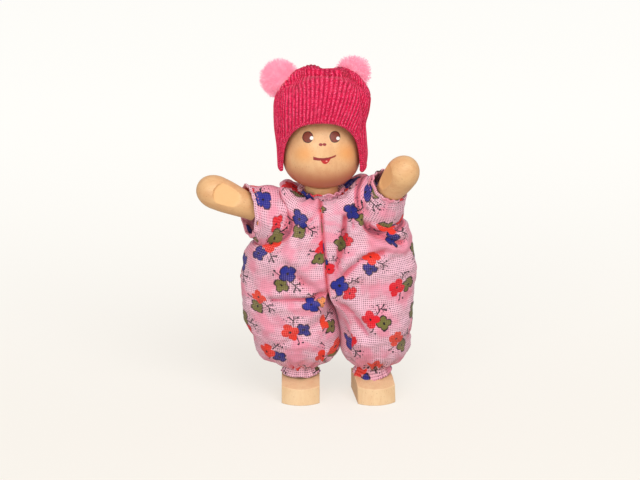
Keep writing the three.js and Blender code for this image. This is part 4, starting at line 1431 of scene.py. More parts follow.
@dataclass
class KnitCap:
    """The ribbed cap: a hollow barrel with an arch for the face, ear flaps and a pinched top.

    Heights and places are over the head's widest ring and from its axis.
    """

    space: DollSpace
    centre: Triple
    # ribs round the cap (a multiple of four), and from rib to rib across its front
    ribs: int = 80
    pitch: float = 0.96
    rib_depth: float = 0.26
    # radians from the middle where the corners start to gather the ribs
    corner: float = 0.87
    # ribs on the left lean by this much above and below a height
    lean: float = 4.4
    lean_z: float = 14.0
    lean_over: float = 9.0
    columns: int = 700
    rows: int = 110
    lining_columns: int = 96
    lining_rows: int = 40
    wall: float = 1.0
    # height, right half width, left half width, front depth, back depth
    rings: Table = (
        (-2.3, 12.0, 12.4, 12.0, 12.0),
        (0.5, 12.15, 12.65, 12.0, 12.1),
        (5.5, 12.5, 12.35, 11.6, 12.3),
        (9.5, 12.95, 12.2, 11.1, 12.4),
        (13.5, 13.1, 12.7, 10.9, 12.2),
        (17.2, 12.7, 12.95, 10.5, 11.8),
        (19.8, 11.3, 12.4, 9.6, 10.6),
        (21.8, 9.7, 11.0, 8.2, 8.6),
        (23.2, 8.2, 10.0, 6.6, 6.4),
        (24.1, 7.0, 8.6, 4.8, 4.4),
        (24.5, 6.0, 7.4, 2.8, 2.6),
        (24.7, 5.0, 6.4, 0.6, 0.6),
    )
    power: float = 2.2
    arch_half: float = 11.35
    arch_top: float = 13.85
    arch_power: float = 2.6
    roll: float = 0.5
    roll_sides: int = 14
    # points along each half of the edge, and along the whole once they are evenly spaced
    half_steps: int = 400
    edge_steps: int = 900
    # the lobes over the top seam: place across, height and half width of each
    lobes: tuple[Triple, ...] = ((-2.9, 1.4, 2.9), (1.7, -1.9, 1.3), (5.2, 0.8, 2.5))
    # the front panel's crest, and its swells and dip: place behind it, height and half width
    crest_y: float = -3.6
    crest: tuple[Triple, ...] = ((-0.6, 0.5, 1.4), (1.8, -1.0, 0.9), (4.0, 0.45, 1.8))
    # the fold down the left side: its place at its middle, that height, its depth and half width
    fold_x: float = 11.6
    fold_z: float = 13.0
    fold_depth: float = 0.75
    fold_half: float = 0.55
    pull: float = 0.28

    def arch(self, x: Array) -> Array:
        """Height of the face opening's edge at a distance from the middle."""
        share = np.clip(np.abs(x) / self.arch_half, 0, 1)
        low = self.rings[0][0]
        return low + (self.arch_top - low) * (1 - share**self.arch_power) ** (1 / self.arch_power)

    def is_open(self, shape: GridSurface) -> Array:
        """Which faces of the barrel the face opening cuts away."""
        middle = (shape.points[:-1] + shape.points[1:]) / 2
        middle = (middle + np.roll(middle, -1, axis=1)) / 2
        x, y, z = np.moveaxis(middle, -1, 0)
        return (y < 0) & (np.abs(x) < self.arch_half) & (z < self.arch(x))

    def oval(self, angle: Array, wide: Array, deep: Array) -> tuple[Array, Array]:
        """Points of one of the barrel's rounded rings, at angles from its left side."""
        return bulge(np.cos(angle), self.power) * wide, bulge(np.sin(angle), self.power) * deep

    def shell(self, columns: int, rows: int, inset: float = 0.0) -> GridSurface:
        """The barrel's rows from the bottom to the pinched top.

        Args:
            columns: Points round each row.
            rows: Number of rows.
            inset: How far inside the knit it lies, for the lining.

        Returns:
            The barrel, with its ribs counted.
        """
        angle = np.arange(columns) * TURN / columns - math.pi / 2
        points = []
        for z, right, left, front, back in spline(np.array(self.rings), rows):
            wide = np.where(np.cos(angle) < 0, right, left) - inset
            deep = np.maximum(np.where(np.sin(angle) < 0, front, back), 0.02)
            x, y = self.oval(angle, wide, deep - inset * min(1, front / 3))
            points.append(np.stack([x, y, np.full(columns, z - inset * 0.4 * (z > 20))], axis=1))
        shape = GridSurface(np.array(points))
        shape.marks["rib"] = self.rib_phase(shape.points, np.arcsin(np.abs(np.cos(angle))))
        self.pinch(shape)
        return shape

    def pinch(self, shape: GridSurface) -> None:
        """Presses the lobes, the front panel's crest and the side fold into the barrel."""
        x, y, z = np.moveaxis(shape.points, -1, 0)
        top = smoothstep(z, 20.5, 24.6)
        behind = smoothstep(y, self.crest_y, self.crest_y + 4.5) * smoothstep(y, 7.5, 3.0)
        z += top * swells(x, self.lobes) * behind
        from_crest = y - self.crest_y
        drop = np.where(x < 0, 0.05, 0.022) * x**2
        z -= np.minimum(drop, 2.2) * top * smoothstep(from_crest, 2.6, -0.4)
        seen = np.clip((z - np.where(x < 0, 16.5, 10.0)) / 4, 0, 1)
        shape.push(swells(from_crest, self.crest) * seen)
        from_fold = x - self.fold_x + 0.1 * np.abs(z - self.fold_z)
        fold = gauss(from_fold, self.fold_half) * (y < -0.5)
        shape.push(-self.fold_depth * fold * smoothstep(z, 5, 9) * smoothstep(z, 21.5, 19))

    def build(self, knit: Material, ribs: GeometryTree) -> None:
        """Makes the cap's shell, lining and rolled edge.

        Args:
            knit: The knit.
            ribs: The tree that raises the ribs.
        """
        shape = self.shell(self.columns, self.rows)
        p = shape.points
        pull = wander(p * np.array([1, 1, 0.6]), 5.0, 3.1) * self.pull
        pull[0] *= 0.2
        shape.push(pull * (1 - smoothstep(p[..., 2], 24.6, 25.4)))
        kept = ~self.is_open(shape)
        shape.points += np.array(self.centre)
        outer = shape.build("cap_ribbed_knit", self.space, knit, (False, True), kept)
        ribs.run(outer, knit, Rib_Depth=self.rib_depth * MM)
        lining = self.shell(self.lining_columns, self.lining_rows, self.wall)
        kept = ~self.is_open(lining)
        half_ribs = np.arange(self.lining_columns) * 0.5
        lining.marks["rib"] = np.broadcast_to(half_ribs, lining.points.shape[:2])
        lining.points += np.array(self.centre)
        inner = lining.build("cap_lining", self.space, knit, (False, True), kept)
        inner.data.flip_normals()
        for made in (outer, inner, self.rolled_edge(knit)):
            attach(made, "cap")
        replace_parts(outer, "cap_knit", "cap_top_seam")

    def rib_phase(self, p: Array, turned_by: Array) -> Array:
        """Counts the ribs from the cap's middle to its sides, front and back alike.

        Args:
            p: The barrel's points.
            turned_by: Each column's angle from the front or back middle, a quarter turn at the sides.

        Returns:
            The count at each point; the ribs run straight up, lean on the left and go over the top.
        """
        x, y, z = np.moveaxis(p, -1, 0)
        corner = np.clip((turned_by - self.corner) / (TURN / 4 - self.corner), 0, 1) ** 1.3
        wide = np.where(x < 0, -x.min(axis=1, keepdims=True), x.max(axis=1, keepdims=True))
        over = smoothstep(z, 17, 21)
        held = (self.ribs / 4 - wide / self.pitch) * (1 - over) + 2 * over
        lean = self.lean * smoothstep(x, -7.0, 12.0) * np.tanh((z - self.lean_z) / self.lean_over)
        lean = lean * (1 - corner) * (y < 0)
        return np.sign(x) * (np.abs(x) / self.pitch + held * corner) - lean / self.pitch

    def rim_path(self) -> Array:
        """The edge of the cap: round the back at the bottom, and over the face as an arch.

        Returns:
            The evenly spaced, softened edge.
        """
        x = self.arch_half * np.sin(np.linspace(-math.pi / 2, math.pi / 2, self.half_steps))
        z = self.arch(x)
        ring = spline(np.array(self.rings), 200)
        right, left, depth = (np.interp(z, ring[:, 0], ring[:, column]) for column in (1, 2, 3))
        share = np.clip(np.abs(x) / np.where(x < 0, right, left), 0, 1)
        front = np.stack([x, -depth * (1 - share**self.power) ** (1 / self.power), z], axis=1)
        low_z, right, left, near, far = self.rings[0]
        low = [math.asin(-((abs(front[end][1]) / near) ** (self.power / 2))) for end in (-1, 0)]
        angles = np.linspace(low[0], math.pi - low[1], self.half_steps)[1:-1]
        wide = np.where(np.cos(angles) < 0, right, left)
        x, y = self.oval(angles, wide, np.where(np.sin(angles) < 0, near, far))
        path = np.vstack([front, np.stack([x, y, np.full(len(angles), low_z)], axis=1)])
        closed = np.vstack([path, path[:1]])
        steps = norm(np.diff(closed, axis=0), axis=1)
        length = np.concatenate([[0], np.cumsum(steps)])
        wanted = np.linspace(0, length[-1], self.edge_steps, endpoint=False)
        even = np.stack([np.interp(wanted, length, closed[:, axis]) for axis in range(3)], axis=1)
        for _ in range(14):
            even = (np.roll(even, 1, 0) + 2 * even + np.roll(even, -1, 0)) / 4
        return even

    def rolled_edge(self, knit: Material) -> Object:
        """The soft roll of knit along the cap's edge."""
        path = self.rim_path()
        ahead = unit(np.roll(path, -1, 0) - np.roll(path, 1, 0))
        across = unit(np.cross(ahead, unit(path * np.array([1, 1, 0]))))
        away = np.cross(across, ahead)
        angle = np.arange(self.roll_sides) * TURN / self.roll_sides
        steps = norm(np.roll(path, -1, 0) - path, axis=1)
        phase = np.concatenate([[0], np.cumsum(steps)[:-1]]) / 0.56
        radius = self.roll * (1 + 0.12 * np.cos(phase * TURN))
        points = (
            (path - away * 0.3)[:, None, :]
            + away[:, None, :] * np.cos(angle)[None, :, None] * radius[:, None, None]
            + across[:, None, :] * np.sin(angle)[None, :, None] * radius[:, None, None]
        )
        closed = np.concatenate([points, points[:1]])
        shape = GridSurface(closed + np.array(self.centre))
        phase = np.concatenate([phase, phase[:1]])
        shape.marks["rib"] = np.broadcast_to(phase[:, None], closed.shape[:2])
        made = shape.build("cap_rolled_edge", self.space, knit)
        weld = made.modifiers.new("close", "WELD")
        weld.merge_threshold = 1e-6
        settle(made)
        return made


@dataclass
class Pompom:
    """A ball of cut yarn: a soft core with many fibres standing out of it."""

    space: DollSpace
    side: Side
    place: Triple
    radius: float
    seed: int
    rows: int = 24
    columns: int = 40
    # how far the fibres stand out of the core, on average
    fringe: float = 1.6
    lump_size: float = 2.6
    lump_depth: float = 0.3
    # fibres on each square metre of the core, their length, half thickness and lean
    density: float = 3.2e7
    length: float = 2.0
    thickness: float = 0.045
    tilt: float = 0.6

    def build(self, yarn: Material, fibres: GeometryTree) -> None:
        """Makes the pompom.

        Args:
            yarn: The yarn.
            fibres: The tree that adds the fibres.
        """
        angles = [math.pi * step / self.rows for step in range(self.rows + 1)]
        shape = turned([(math.sin(angle), -math.cos(angle)) for angle in angles], self.columns)
        shape.points *= self.radius - self.fringe
        shape.push(wander(shape.points, self.lump_size, self.seed) * self.lump_depth)
        shape.points += np.array(self.place)
        name = self.side.word
        made = shape.build(f"pompom_{name}_fluffy", self.space, yarn, (True, True))
        fibres.run(
            made,
            yarn,
            Density=self.density,
            Length=self.length * MM,
            Thickness=self.thickness * MM,
            Tilt=self.tilt,
            Seed=self.seed,
        )
        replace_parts(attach(made, "cap"), f"pompom_{name}")


@dataclass(frozen=True)
class Fold:
    """A soft crease pressed into the cloth along a line seen from the front."""

    points: tuple[Pair, ...]
    depth: float
    width: float
    back: bool = False

    def press(self, p: Array) -> Array:
        """How far the crease moves each point of p along its normal."""
        best = np.full(p.shape[:-1], 1e9)
        for (x0, z0), (x1, z1) in zip(self.points, self.points[1:]):
            dx, dz = x1 - x0, z1 - z0
            share = np.clip(((p[..., 0] - x0) * dx + (p[..., 2] - z0) * dz) / (dx * dx + dz * dz), 0, 1)
            near = np.hypot(p[..., 0] - x0 - share * dx, p[..., 2] - z0 - share * dz)
            best = np.minimum(best, near)
        side = smoothstep(p[..., 1] if self.back else -p[..., 1], 1.0, 5.0)
        dip = gauss(best, self.width) - 0.45 * gauss(best - 2.1 * self.width, 1.3 * self.width)
        return -1.35 * self.depth * dip * side


@dataclass
class RomperHalf:
    """One half of the puffy romper, from the gathered collar to the gathered ankle.

    A row runs from the front seam round the outer side to the back seam and home along the inner
    side. On the body the inner side is flat against the other half; below the crotch it is a leg.
    """

    space: DollSpace
    side: Side
    # front height, side height, outer edge, front depth, back depth
    body_rows: Table
    # height, inner edge, outer edge, half depth
    leg_rows: Table
    folds: tuple[Fold, ...]
    seed: float
    cloth_start: float
    # heights and places of the centre seam
    seam: tuple[Pair, ...] = ((59.0, -2.4), (33.0, -0.3), (8.0, -0.3))
    collar_x: float = WoodenParts.spine_x
    # heights between which the body turns into a leg
    crotch: Pair = (34.5, 23.5)
    rows: int = 230
    columns: int = 176
    # share of each row that is spent on the outer side
    outer_share: float = 0.75
    body_power: float = 2.3
    leg_power: float = 2.0
    wall: float = 0.3
    neck_flutes: int = 21
    neck_depth: float = 0.42
    ankle_gathers: int = 15
    ankle_depth: float = 0.55
    puff_size: float = 7.5
    puff_depth: float = 0.75
    crumple_size: float = 3.2
    crumple_depth: float = 0.22
    seam_dent: float = 0.8
    # radius of the armhole's line, its half width and how deep it lies
    armhole: float = 8.3
    armhole_half: float = 0.7
    armhole_depth: float = 0.7

    def seam_x(self, z: Array) -> Array:
        """Place of the centre seam at a height."""
        heights, places = zip(*reversed(self.seam))
        return np.interp(z, heights, places)

    def around(self) -> Array:
        """Each column's share of the way round a row."""
        return np.arange(self.columns) / self.columns

    def table(self) -> Array:
        """Rows of front z, side z, inner x, outer x, front depth, back depth, leg share, power."""
        table = []
        for front_z, side_z, outer, front, back in self.body_rows:
            inner = float(self.seam_x(front_z))
            table.append((front_z, side_z, inner, outer, front, back, 0.0, self.body_power))
        for z, inner, outer, depth in self.leg_rows:
            share = float(smoothstep(np.array(-z), -self.crotch[0], -self.crotch[1]))
            power = self.body_power + (self.leg_power - self.body_power) * share
            table.append((z, z, inner, outer, depth, depth, share, power))
        return np.array(table)

    def shape(self) -> GridSurface:
        """The smooth puffed surface before its folds."""
        sign = self.side.value
        t = self.around()
        inside = t > self.outer_share
        home = (t - self.outer_share) / (1 - self.outer_share)
        theta = np.interp(t, [0, self.outer_share], [math.pi / 2, -math.pi / 2])
        turns = [0, self.outer_share / 2, self.outer_share, 1]
        phi = np.interp(t, turns, [0.72, 0, -0.72, -1.28]) * math.pi
        rows = []
        for front_z, side_z, inner, outer, front, back, share, power in spline(self.table(), self.rows):
            seam = float(self.seam_x(front_z))
            c, s = np.cos(theta), np.sin(theta)
            body_x = seam + (outer - seam) * np.abs(c) ** (2 / power)
            body_y = -bulge(s, power) * np.where(s > 0, front, back)
            body_x = np.where(inside, seam, body_x) + sign * 0.04
            body_y = np.where(inside, back - (front + back) * home, body_y)
            lift = np.abs(c) ** 1.4 * (~inside)
            c, s = np.cos(phi), np.sin(phi)
            middle, half = (inner + outer) / 2, abs(outer - inner) / 2
            leg_x = middle + sign * half * bulge(c, power)
            leg_y = -bulge(s, power) * np.where(s > 0, front, back)
            x = body_x * (1 - share) + leg_x * share
            y = body_y * (1 - share) + leg_y * share
            rows.append(np.stack([x, y, front_z + (side_z - front_z) * lift], axis=1))
        return GridSurface(np.array(rows))

    def gathers(self, p: Array) -> Array:
        """How far the gathers at the neck and the ankle lift each point of p."""
        x, y, z = p[..., 0] - self.collar_x, p[..., 1], p[..., 2]
        angle = np.arctan2(y, x)
        flute = np.cos(angle * self.neck_flutes + 1.8 * np.sin(angle * 3 + self.seed))
        at_neck = np.exp(-np.maximum(np.hypot(x, y) - 5.6, 0) / 3.2) * smoothstep(z, 50, 55)
        angle = np.arctan2(y, p[..., 0] - ANKLE_X[self.side])
        gather = np.cos(angle * self.ankle_gathers + 1.5 * np.sin(angle * 4 + self.seed))
        at_ankle = np.exp(-np.maximum(z - 9.2, 0) / 3.4)
        return self.neck_depth * flute * at_neck + self.ankle_depth * gather * at_ankle

    def armhole_line(self, p: Array) -> Array:
        """1 on the line where the sleeve is set in, fading to 0 beside it."""
        arm = ARMS[self.side].local(p)
        beyond = np.hypot(arm[..., 0], arm[..., 1]) - self.armhole
        return gauss(beyond, self.armhole_half) * smoothstep(arm[..., 2], -8.5, -5.5)

    def crease(self, shape: GridSurface) -> None:
        """Presses the folds, the gathers, the seam and the armhole's line into the surface, and marks the
        painted shade in its folds and the lines of its seams.
        """
        p = shape.points
        x, y, z = np.moveaxis(p, -1, 0)
        seam = np.abs(x - self.seam_x(z))
        on_body = smoothstep(z, self.crotch[1] + 4, self.crotch[0])
        inside = self.around() > self.outer_share
        amount = sum(fold.press(p) for fold in self.folds) + self.gathers(p)
        amount += wander(p, self.puff_size, self.seed) * self.puff_depth * smoothstep(z, 9, 14)
        crumple = wander(p * np.array([1, 1, 2.2]), self.crumple_size, self.seed + 9)
        amount += crumple * self.crumple_depth
        amount *= np.where(inside, 1 - on_body, 1)
        socket = self.armhole_line(p) * ~inside
        amount -= self.armhole_depth * socket
        # the inner sides of the legs stay smooth, so that the two legs don't meet
        leg_inner = np.interp(z, [7, 10.8, 13.4, 17.6, 20.6, 31], [3, 2.5, 3.1, 3.2, 2.9, 0.1])
        from_inner = (x - leg_inner) * self.side.value
        amount = np.where(z > 11, amount * smoothstep(from_inner, 0.2, 2.6), amount)
        pressed = smoothstep(-amount, 0.0, 1.6)
        # painted shade in the pressed folds, and the darker lines of the centre seam and the armhole seam
        shape.marks["crease"] = pressed + gauss(seam, 0.7) * on_body + socket * 1.5
        shift = shape.normals() * amount[..., None]
        shift[..., 0] *= 1 - gauss(seam, 1.4) * on_body
        dent = self.seam_dent * gauss(seam, 0.6) * on_body * ~inside
        shift[..., 1] -= dent * np.sign(y)
        shape.points = p + shift

    def build(self, cotton: Material) -> None:
        """Makes the half with its folds, from the body down the leg.

        Args:
            cotton: The printed cotton.
        """
        shape = self.shape()
        self.crease(shape)
        shape.lay_flat(int(0.12 * self.columns), (self.cloth_start, 40.0))
        if self.side is Side.RIGHT:
            shape.uv[..., 0] *= -1
        name = self.side.word
        made = shape.build(f"romper_{name}_half", self.space, cotton)
        thicken(made, self.wall)
        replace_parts(made, f"romper_front_{name}", f"romper_leg_{name}")
        if self.side is Side.RIGHT:
            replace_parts(made, "romper_back")
        start, end = self.space.point(0, 0, 43), self.space.point(0, 0, 24)
        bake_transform(made)


# distance along the arm and radius, from a closed round end that turns inside the body to the mouth
SHORT_SLEEVE = (
    (-7.5, 0.05), (-7.1, 2.6), (-5.2, 5.2), (-3.2, 7.2), (0.0, 8.4), (2.6, 8.6), (5.2, 8.1), (7.4, 7.1),
    (8.6, 6.5), (9.3, 6.35),
)
LONG_SLEEVE = (
    (-6.9, 0.05), (-6.5, 2.4), (-5.2, 4.6), (-3.2, 6.4), (0.0, 7.3), (3.2, 7.5), (6.2, 7.1), (9.0, 6.2),
    (10.8, 5.5), (11.5, 5.3),
)


@dataclass
class Sleeve:
    """A short puffed sleeve with a folded hem, which turns with its arm."""

    space: DollSpace
    pose: ArmPose
    seed: float
    profile: tuple[Pair, ...] = SHORT_SLEEVE
    # how far the mouth hangs back under the arm for each millimetre from its axis, and how much
    # the cloth sags
    hang: float = 0.45
    turn: float = 0.27
    pull_in: float = 1.0
    sag: float = 0.0
    rows: int = 70
    columns: int = 150
    wall: float = 0.35
    gathers: int = 13
    gather_depth: float = 0.3
    # how far before the mouth the stitches run, and how far over the cloth
    stitch_back: float = 0.9
    stitch_lift: float = 0.05
    # the folded hem's section: outwards from the mouth's radius, and along the arm
    hem_start: float = -0.15
    hem_section: tuple[Pair, ...] = (
        (-0.3, 0.0), (0.12, 0.08), (0.2, 0.5), (0.12, 0.95), (-0.3, 1.05), (-0.45, 0.5),
    )
    hem_ripple: float = 0.035

    def flute(self, p: Array) -> Array:
        """The gathers' waves round the arm, -1 to 1."""
        angle = np.arctan2(p[..., 1], p[..., 0])
        return np.cos(angle * self.gathers + 1.6 * np.sin(angle * 3 + self.seed))

    def hang_on_arm(self, shape: GridSurface) -> None:
        """Lets the mouth hang upright instead of square to the arm, and moves the cloth there."""
        p = shape.points
        sign = self.pose.side.value
        pull = smoothstep(p[..., 2], 0.0, self.profile[-1][0])
        up = -sign * p[..., 0]
        p[..., 2] += (self.hang * up + self.turn * p[..., 1] - self.pull_in) * pull
        p[..., 0] += sign * self.sag * pull
        self.pose.settle(shape)

    def stitches(self, ring: Array, thread: Material, tree: GeometryTree) -> Object:
        """Running stitches along a ring of points on the sleeve.

        Args:
            ring: The points, in the doll's space.
            thread: The thread.
            tree: The tree that lays the stitches.

        Returns:
            The stitches.
        """
        name = f"sleeve_stitches_{self.pose.side.word}"
        mesh = bpy.data.meshes.new(name)
        edges = [(step, (step + 1) % len(ring)) for step in range(len(ring))]
        mesh.from_pydata(self.space.metres(ring).tolist(), edges, [])
        made = link_new(name, mesh)
        tree.run(made, thread, Spacing=1.15 * MM, Stitch_Length=0.75 * MM, Thread=0.14 * MM)
        return made

    def puff(self, rows: Array) -> GridSurface:
        """The gathered, puffed cloth on its arm.

        Args:
            rows: Distance along the arm and radius of each row.

        Returns:
            The surface, with the painted shade of its creases marked.
        """
        shape = turned([(radius, along) for along, radius in rows], self.columns)
        p = shape.points
        along = p[..., 2]
        gathered = np.exp(-np.abs(along + 0.5) / 1.8) + 0.8 * np.exp(-np.abs(9.2 - along) / 1.5)
        amount = self.gather_depth * self.flute(p) * gathered
        amount += wander(p, 5.0, self.seed) * 0.55 * smoothstep(9.3 - along, 0, 3)
        amount += wander(p, 2.2, self.seed + 5) * 0.15
        shape.push(amount)
        # marks painted shade under the sleeve and where it starts at the armhole
        low = smoothstep(self.pose.side.value * p[..., 0], -1.0, 6.0)
        start = np.maximum(smoothstep(along, 1.5, -2.0), smoothstep(along, 6.5, 1.0) * low * 0.9)
        shape.marks["crease"] = start + 0.5 * smoothstep(along, 0.5, -2.0)
        shape.lay_flat(0, (60 * self.seed, 0.0), True)
        self.hang_on_arm(shape)
        return shape

    def hem(self) -> GridSurface:
        """The folded hem round the mouth, on its arm."""
        mouth, radius = self.profile[-1]
        loop = [
            (radius + out, mouth + self.hem_start + along)
            for out, along in self.hem_section + self.hem_section[:1]
        ]
        band = turned(loop, self.columns)
        ripple = 1 + self.hem_ripple * self.flute(band.points)
        band.points[..., :2] *= ripple[..., None]
        band.lay_flat(0, (60 * self.seed, 20.0), True)
        self.hang_on_arm(band)
        return band

    def build(self, cotton: Material, thread: Material, tree: GeometryTree) -> None:
        """Makes the sleeve, its hem and the hem's stitches.

        Args:
            cotton: The printed cotton.
            thread: The sewing thread.
            tree: The tree that lays the stitches.
        """
        name = self.pose.side.word
        rows = spline(np.array(self.profile), self.rows)
        shape = self.puff(rows)
        lifted = shape.points + shape.normals() * self.stitch_lift
        stitch_row = int(np.argmin(np.abs(rows[:, 0] - (self.profile[-1][0] - self.stitch_back))))
        stitches = self.stitches(lifted[stitch_row], thread, tree)
        sleeve = shape.build(f"sleeve_{name}_puff", self.space, cotton, (True, False))
        thicken(sleeve, self.wall)
        hem = self.hem().build(f"sleeve_hem_{name}_fold", self.space, cotton)
        for made in (sleeve, hem, stitches):
            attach(made, f"arm_{name}")
        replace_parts(sleeve, f"sleeve_{name}")
        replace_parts(hem, f"sleeve_hem_{name}")


@dataclass
class Frill:
    """A short gathered frill round the neck or an ankle."""

    space: DollSpace
    name: str
    body: str
    stands_for: tuple[str, ...]
    centre: Pair
    # radius, height, from the gathered edge outwards
    profile: tuple[Pair, ...]
    waves: int
    depth: float
    seed: float
    wall: float = 0.3
    # how much lower the front hangs for each millimetre from the middle
    tilt: float = 0.0
    rows: int = 26
    columns: int = 220

    def build(self, cotton: Material) -> None:
        """Makes the frill.

        Args:
            cotton: The printed cotton.
        """
        rows = spline(np.array(self.profile), self.rows)
        shape = turned([tuple(row) for row in rows], self.columns)
        angle = np.arctan2(shape.points[..., 1], shape.points[..., 0])
        share = np.linspace(0, 1, self.rows)[:, None]
        wave = np.cos(angle * self.waves + 1.9 * np.sin(angle * 3 + self.seed))
        wave = wave + 0.4 * np.sin(angle * (self.waves * 0.5 + 2) + self.seed)
        shape.push(self.depth * wave * (0.35 + 0.65 * share))
        p = shape.points
        p[..., 2] += 0.35 * self.depth * np.sin(angle * 5 + self.seed * 2) * share
        p[..., 2] += self.tilt * (p[..., 1] + 0.5 * p[..., 0]) * share
        p += np.array([*self.centre, 0])
        shape.lay_flat(0, (25 * self.seed, 7 * self.seed), True)
        made = shape.build(self.name, self.space, cotton)
        thicken(made, self.wall)
        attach(made, self.body)
        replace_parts(made, *self.stands_for)


@dataclass
class Studio:
    """A pale floor, soft lamps and the camera."""

    space: DollSpace
    elevation: float = math.radians(20)
    # metres from the camera to what it looks at
    distance: float = 2.4
    # pixels across the picture, and millimetres to a pixel
    pixels: int = 640
    scale: float = 0.2785
    target: Triple = (-2.5, 0.0, 45.3)
    # metres from the middle to the floor's edge, and the height in metres that the lamps look at
    floor_half: float = 6.0
    lamp_aim: float = 0.05
    # what the camera sees behind the floor, and the light from all round with its strength
    backdrop: Colour = srgb(254, 253, 248)
    light: Colour = (1.0, 0.99, 0.97, 1)
    light_strength: float = 0.58
    # the floor as it takes shadows, as it lights the doll, and its own glow from near to far
    floor_shaded: Colour = srgb(252, 248, 242)
    floor_bounce: Colour = srgb(196, 192, 186)
    floor_near: Colour = srgb(238, 233, 225)
    floor_far: Colour = srgb(255, 255, 252)
    glow_strength: float = 1.1
    glow_share: float = 0.66

    def camera(self) -> None:
        """Places the camera at the photograph's angle."""
        aim = self.space.point(*self.target)
        data = bpy.data.cameras.new("camera")
        data.sensor_width = 36
        data.lens = data.sensor_width * self.distance / (self.pixels * self.scale * MM)
        data.clip_end = 3 * self.distance
        made = link_new("camera", data)
        made.location = aim + Vector((0, -math.cos(self.elevation), math.sin(self.elevation))) * self.distance
        made.rotation_euler = (math.pi / 2 - self.elevation, 0, 0)
        bpy.context.scene.camera = made

    def lamp(self, name: str, place: Triple, size: float, power: float) -> None:
        """Adds a soft area lamp that looks at the doll, with its place in metres."""
        data = bpy.data.lights.new(name, "AREA")
        data.size = size
        data.energy = power
        made = link_new(name, data)
        made.location = place
        away = Vector(place) - Vector((0, 0, self.lamp_aim))
        made.rotation_euler = away.to_track_quat("Z", "Y").to_euler()

    @staticmethod
    def for_camera(tree: NodeTree, other: Wire, seen: Wire) -> Wire:
        """A shader that the camera sees, and another one for all other rays."""
        ray = tree.wire("ShaderNodeLightPath", output="Is Camera Ray")
        return tree.wire("ShaderNodeMixShader", None, {0: ray, 1: other, 2: seen})

    def world(self) -> None:
        """Even pale light from all round."""
        world = bpy.data.worlds.new("studio")
        bpy.context.scene.world = world
        world.use_nodes = True
        tree = NodeTree(world.node_tree)
        seen = tree.wire("ShaderNodeBackground", None, {0: self.backdrop})
        light = tree.wire("ShaderNodeBackground", None, {0: self.light, 1: self.light_strength})
        tree.node("ShaderNodeOutputWorld", None, {0: self.for_camera(tree, light, seen)})

    def floor(self) -> None:
        """A wide pale floor that keeps a light shadow."""
        mesh = bpy.data.meshes.new("studio_floor")
        signs = [(-1, -1), (1, -1), (1, 1), (-1, 1)]
        corners = [(x * self.floor_half, y * self.floor_half, 0) for x, y in signs]
        mesh.from_pydata(corners, [], [(0, 1, 2, 3)])
        made = link_new("studio_floor", mesh)
        graph = Graph("pale_floor")
        shaded = graph.wire("ShaderNodeBsdfDiffuse", None, {"Color": self.floor_shaded})
        bounce = graph.wire("ShaderNodeBsdfDiffuse", None, {"Color": self.floor_bounce})
        _, y, _ = graph.split(graph.place())
        paper = graph.mix(y.rise(-60, 260), self.floor_near, self.floor_far)
        glow = graph.wire("ShaderNodeEmission", None, {"Color": paper, "Strength": self.glow_strength})
        seen = graph.wire("ShaderNodeMixShader", None, {0: self.glow_share, 1: shaded, 2: glow})
        whole = self.for_camera(graph, bounce, seen)
        graph.node("ShaderNodeOutputMaterial", None, {"Surface": whole})
        mesh.materials.append(graph.material)

    def build(self) -> None:
        """Makes the whole studio."""
        self.camera()
        self.world()
        self.floor()
        self.lamp("key", (0.29, -0.62, 0.77), 0.75, 5.3)
        self.lamp("fill", (-0.4, -0.9, 0.36), 0.6, 3.0)
        bpy.context.scene.view_settings.view_transform = "Standard"


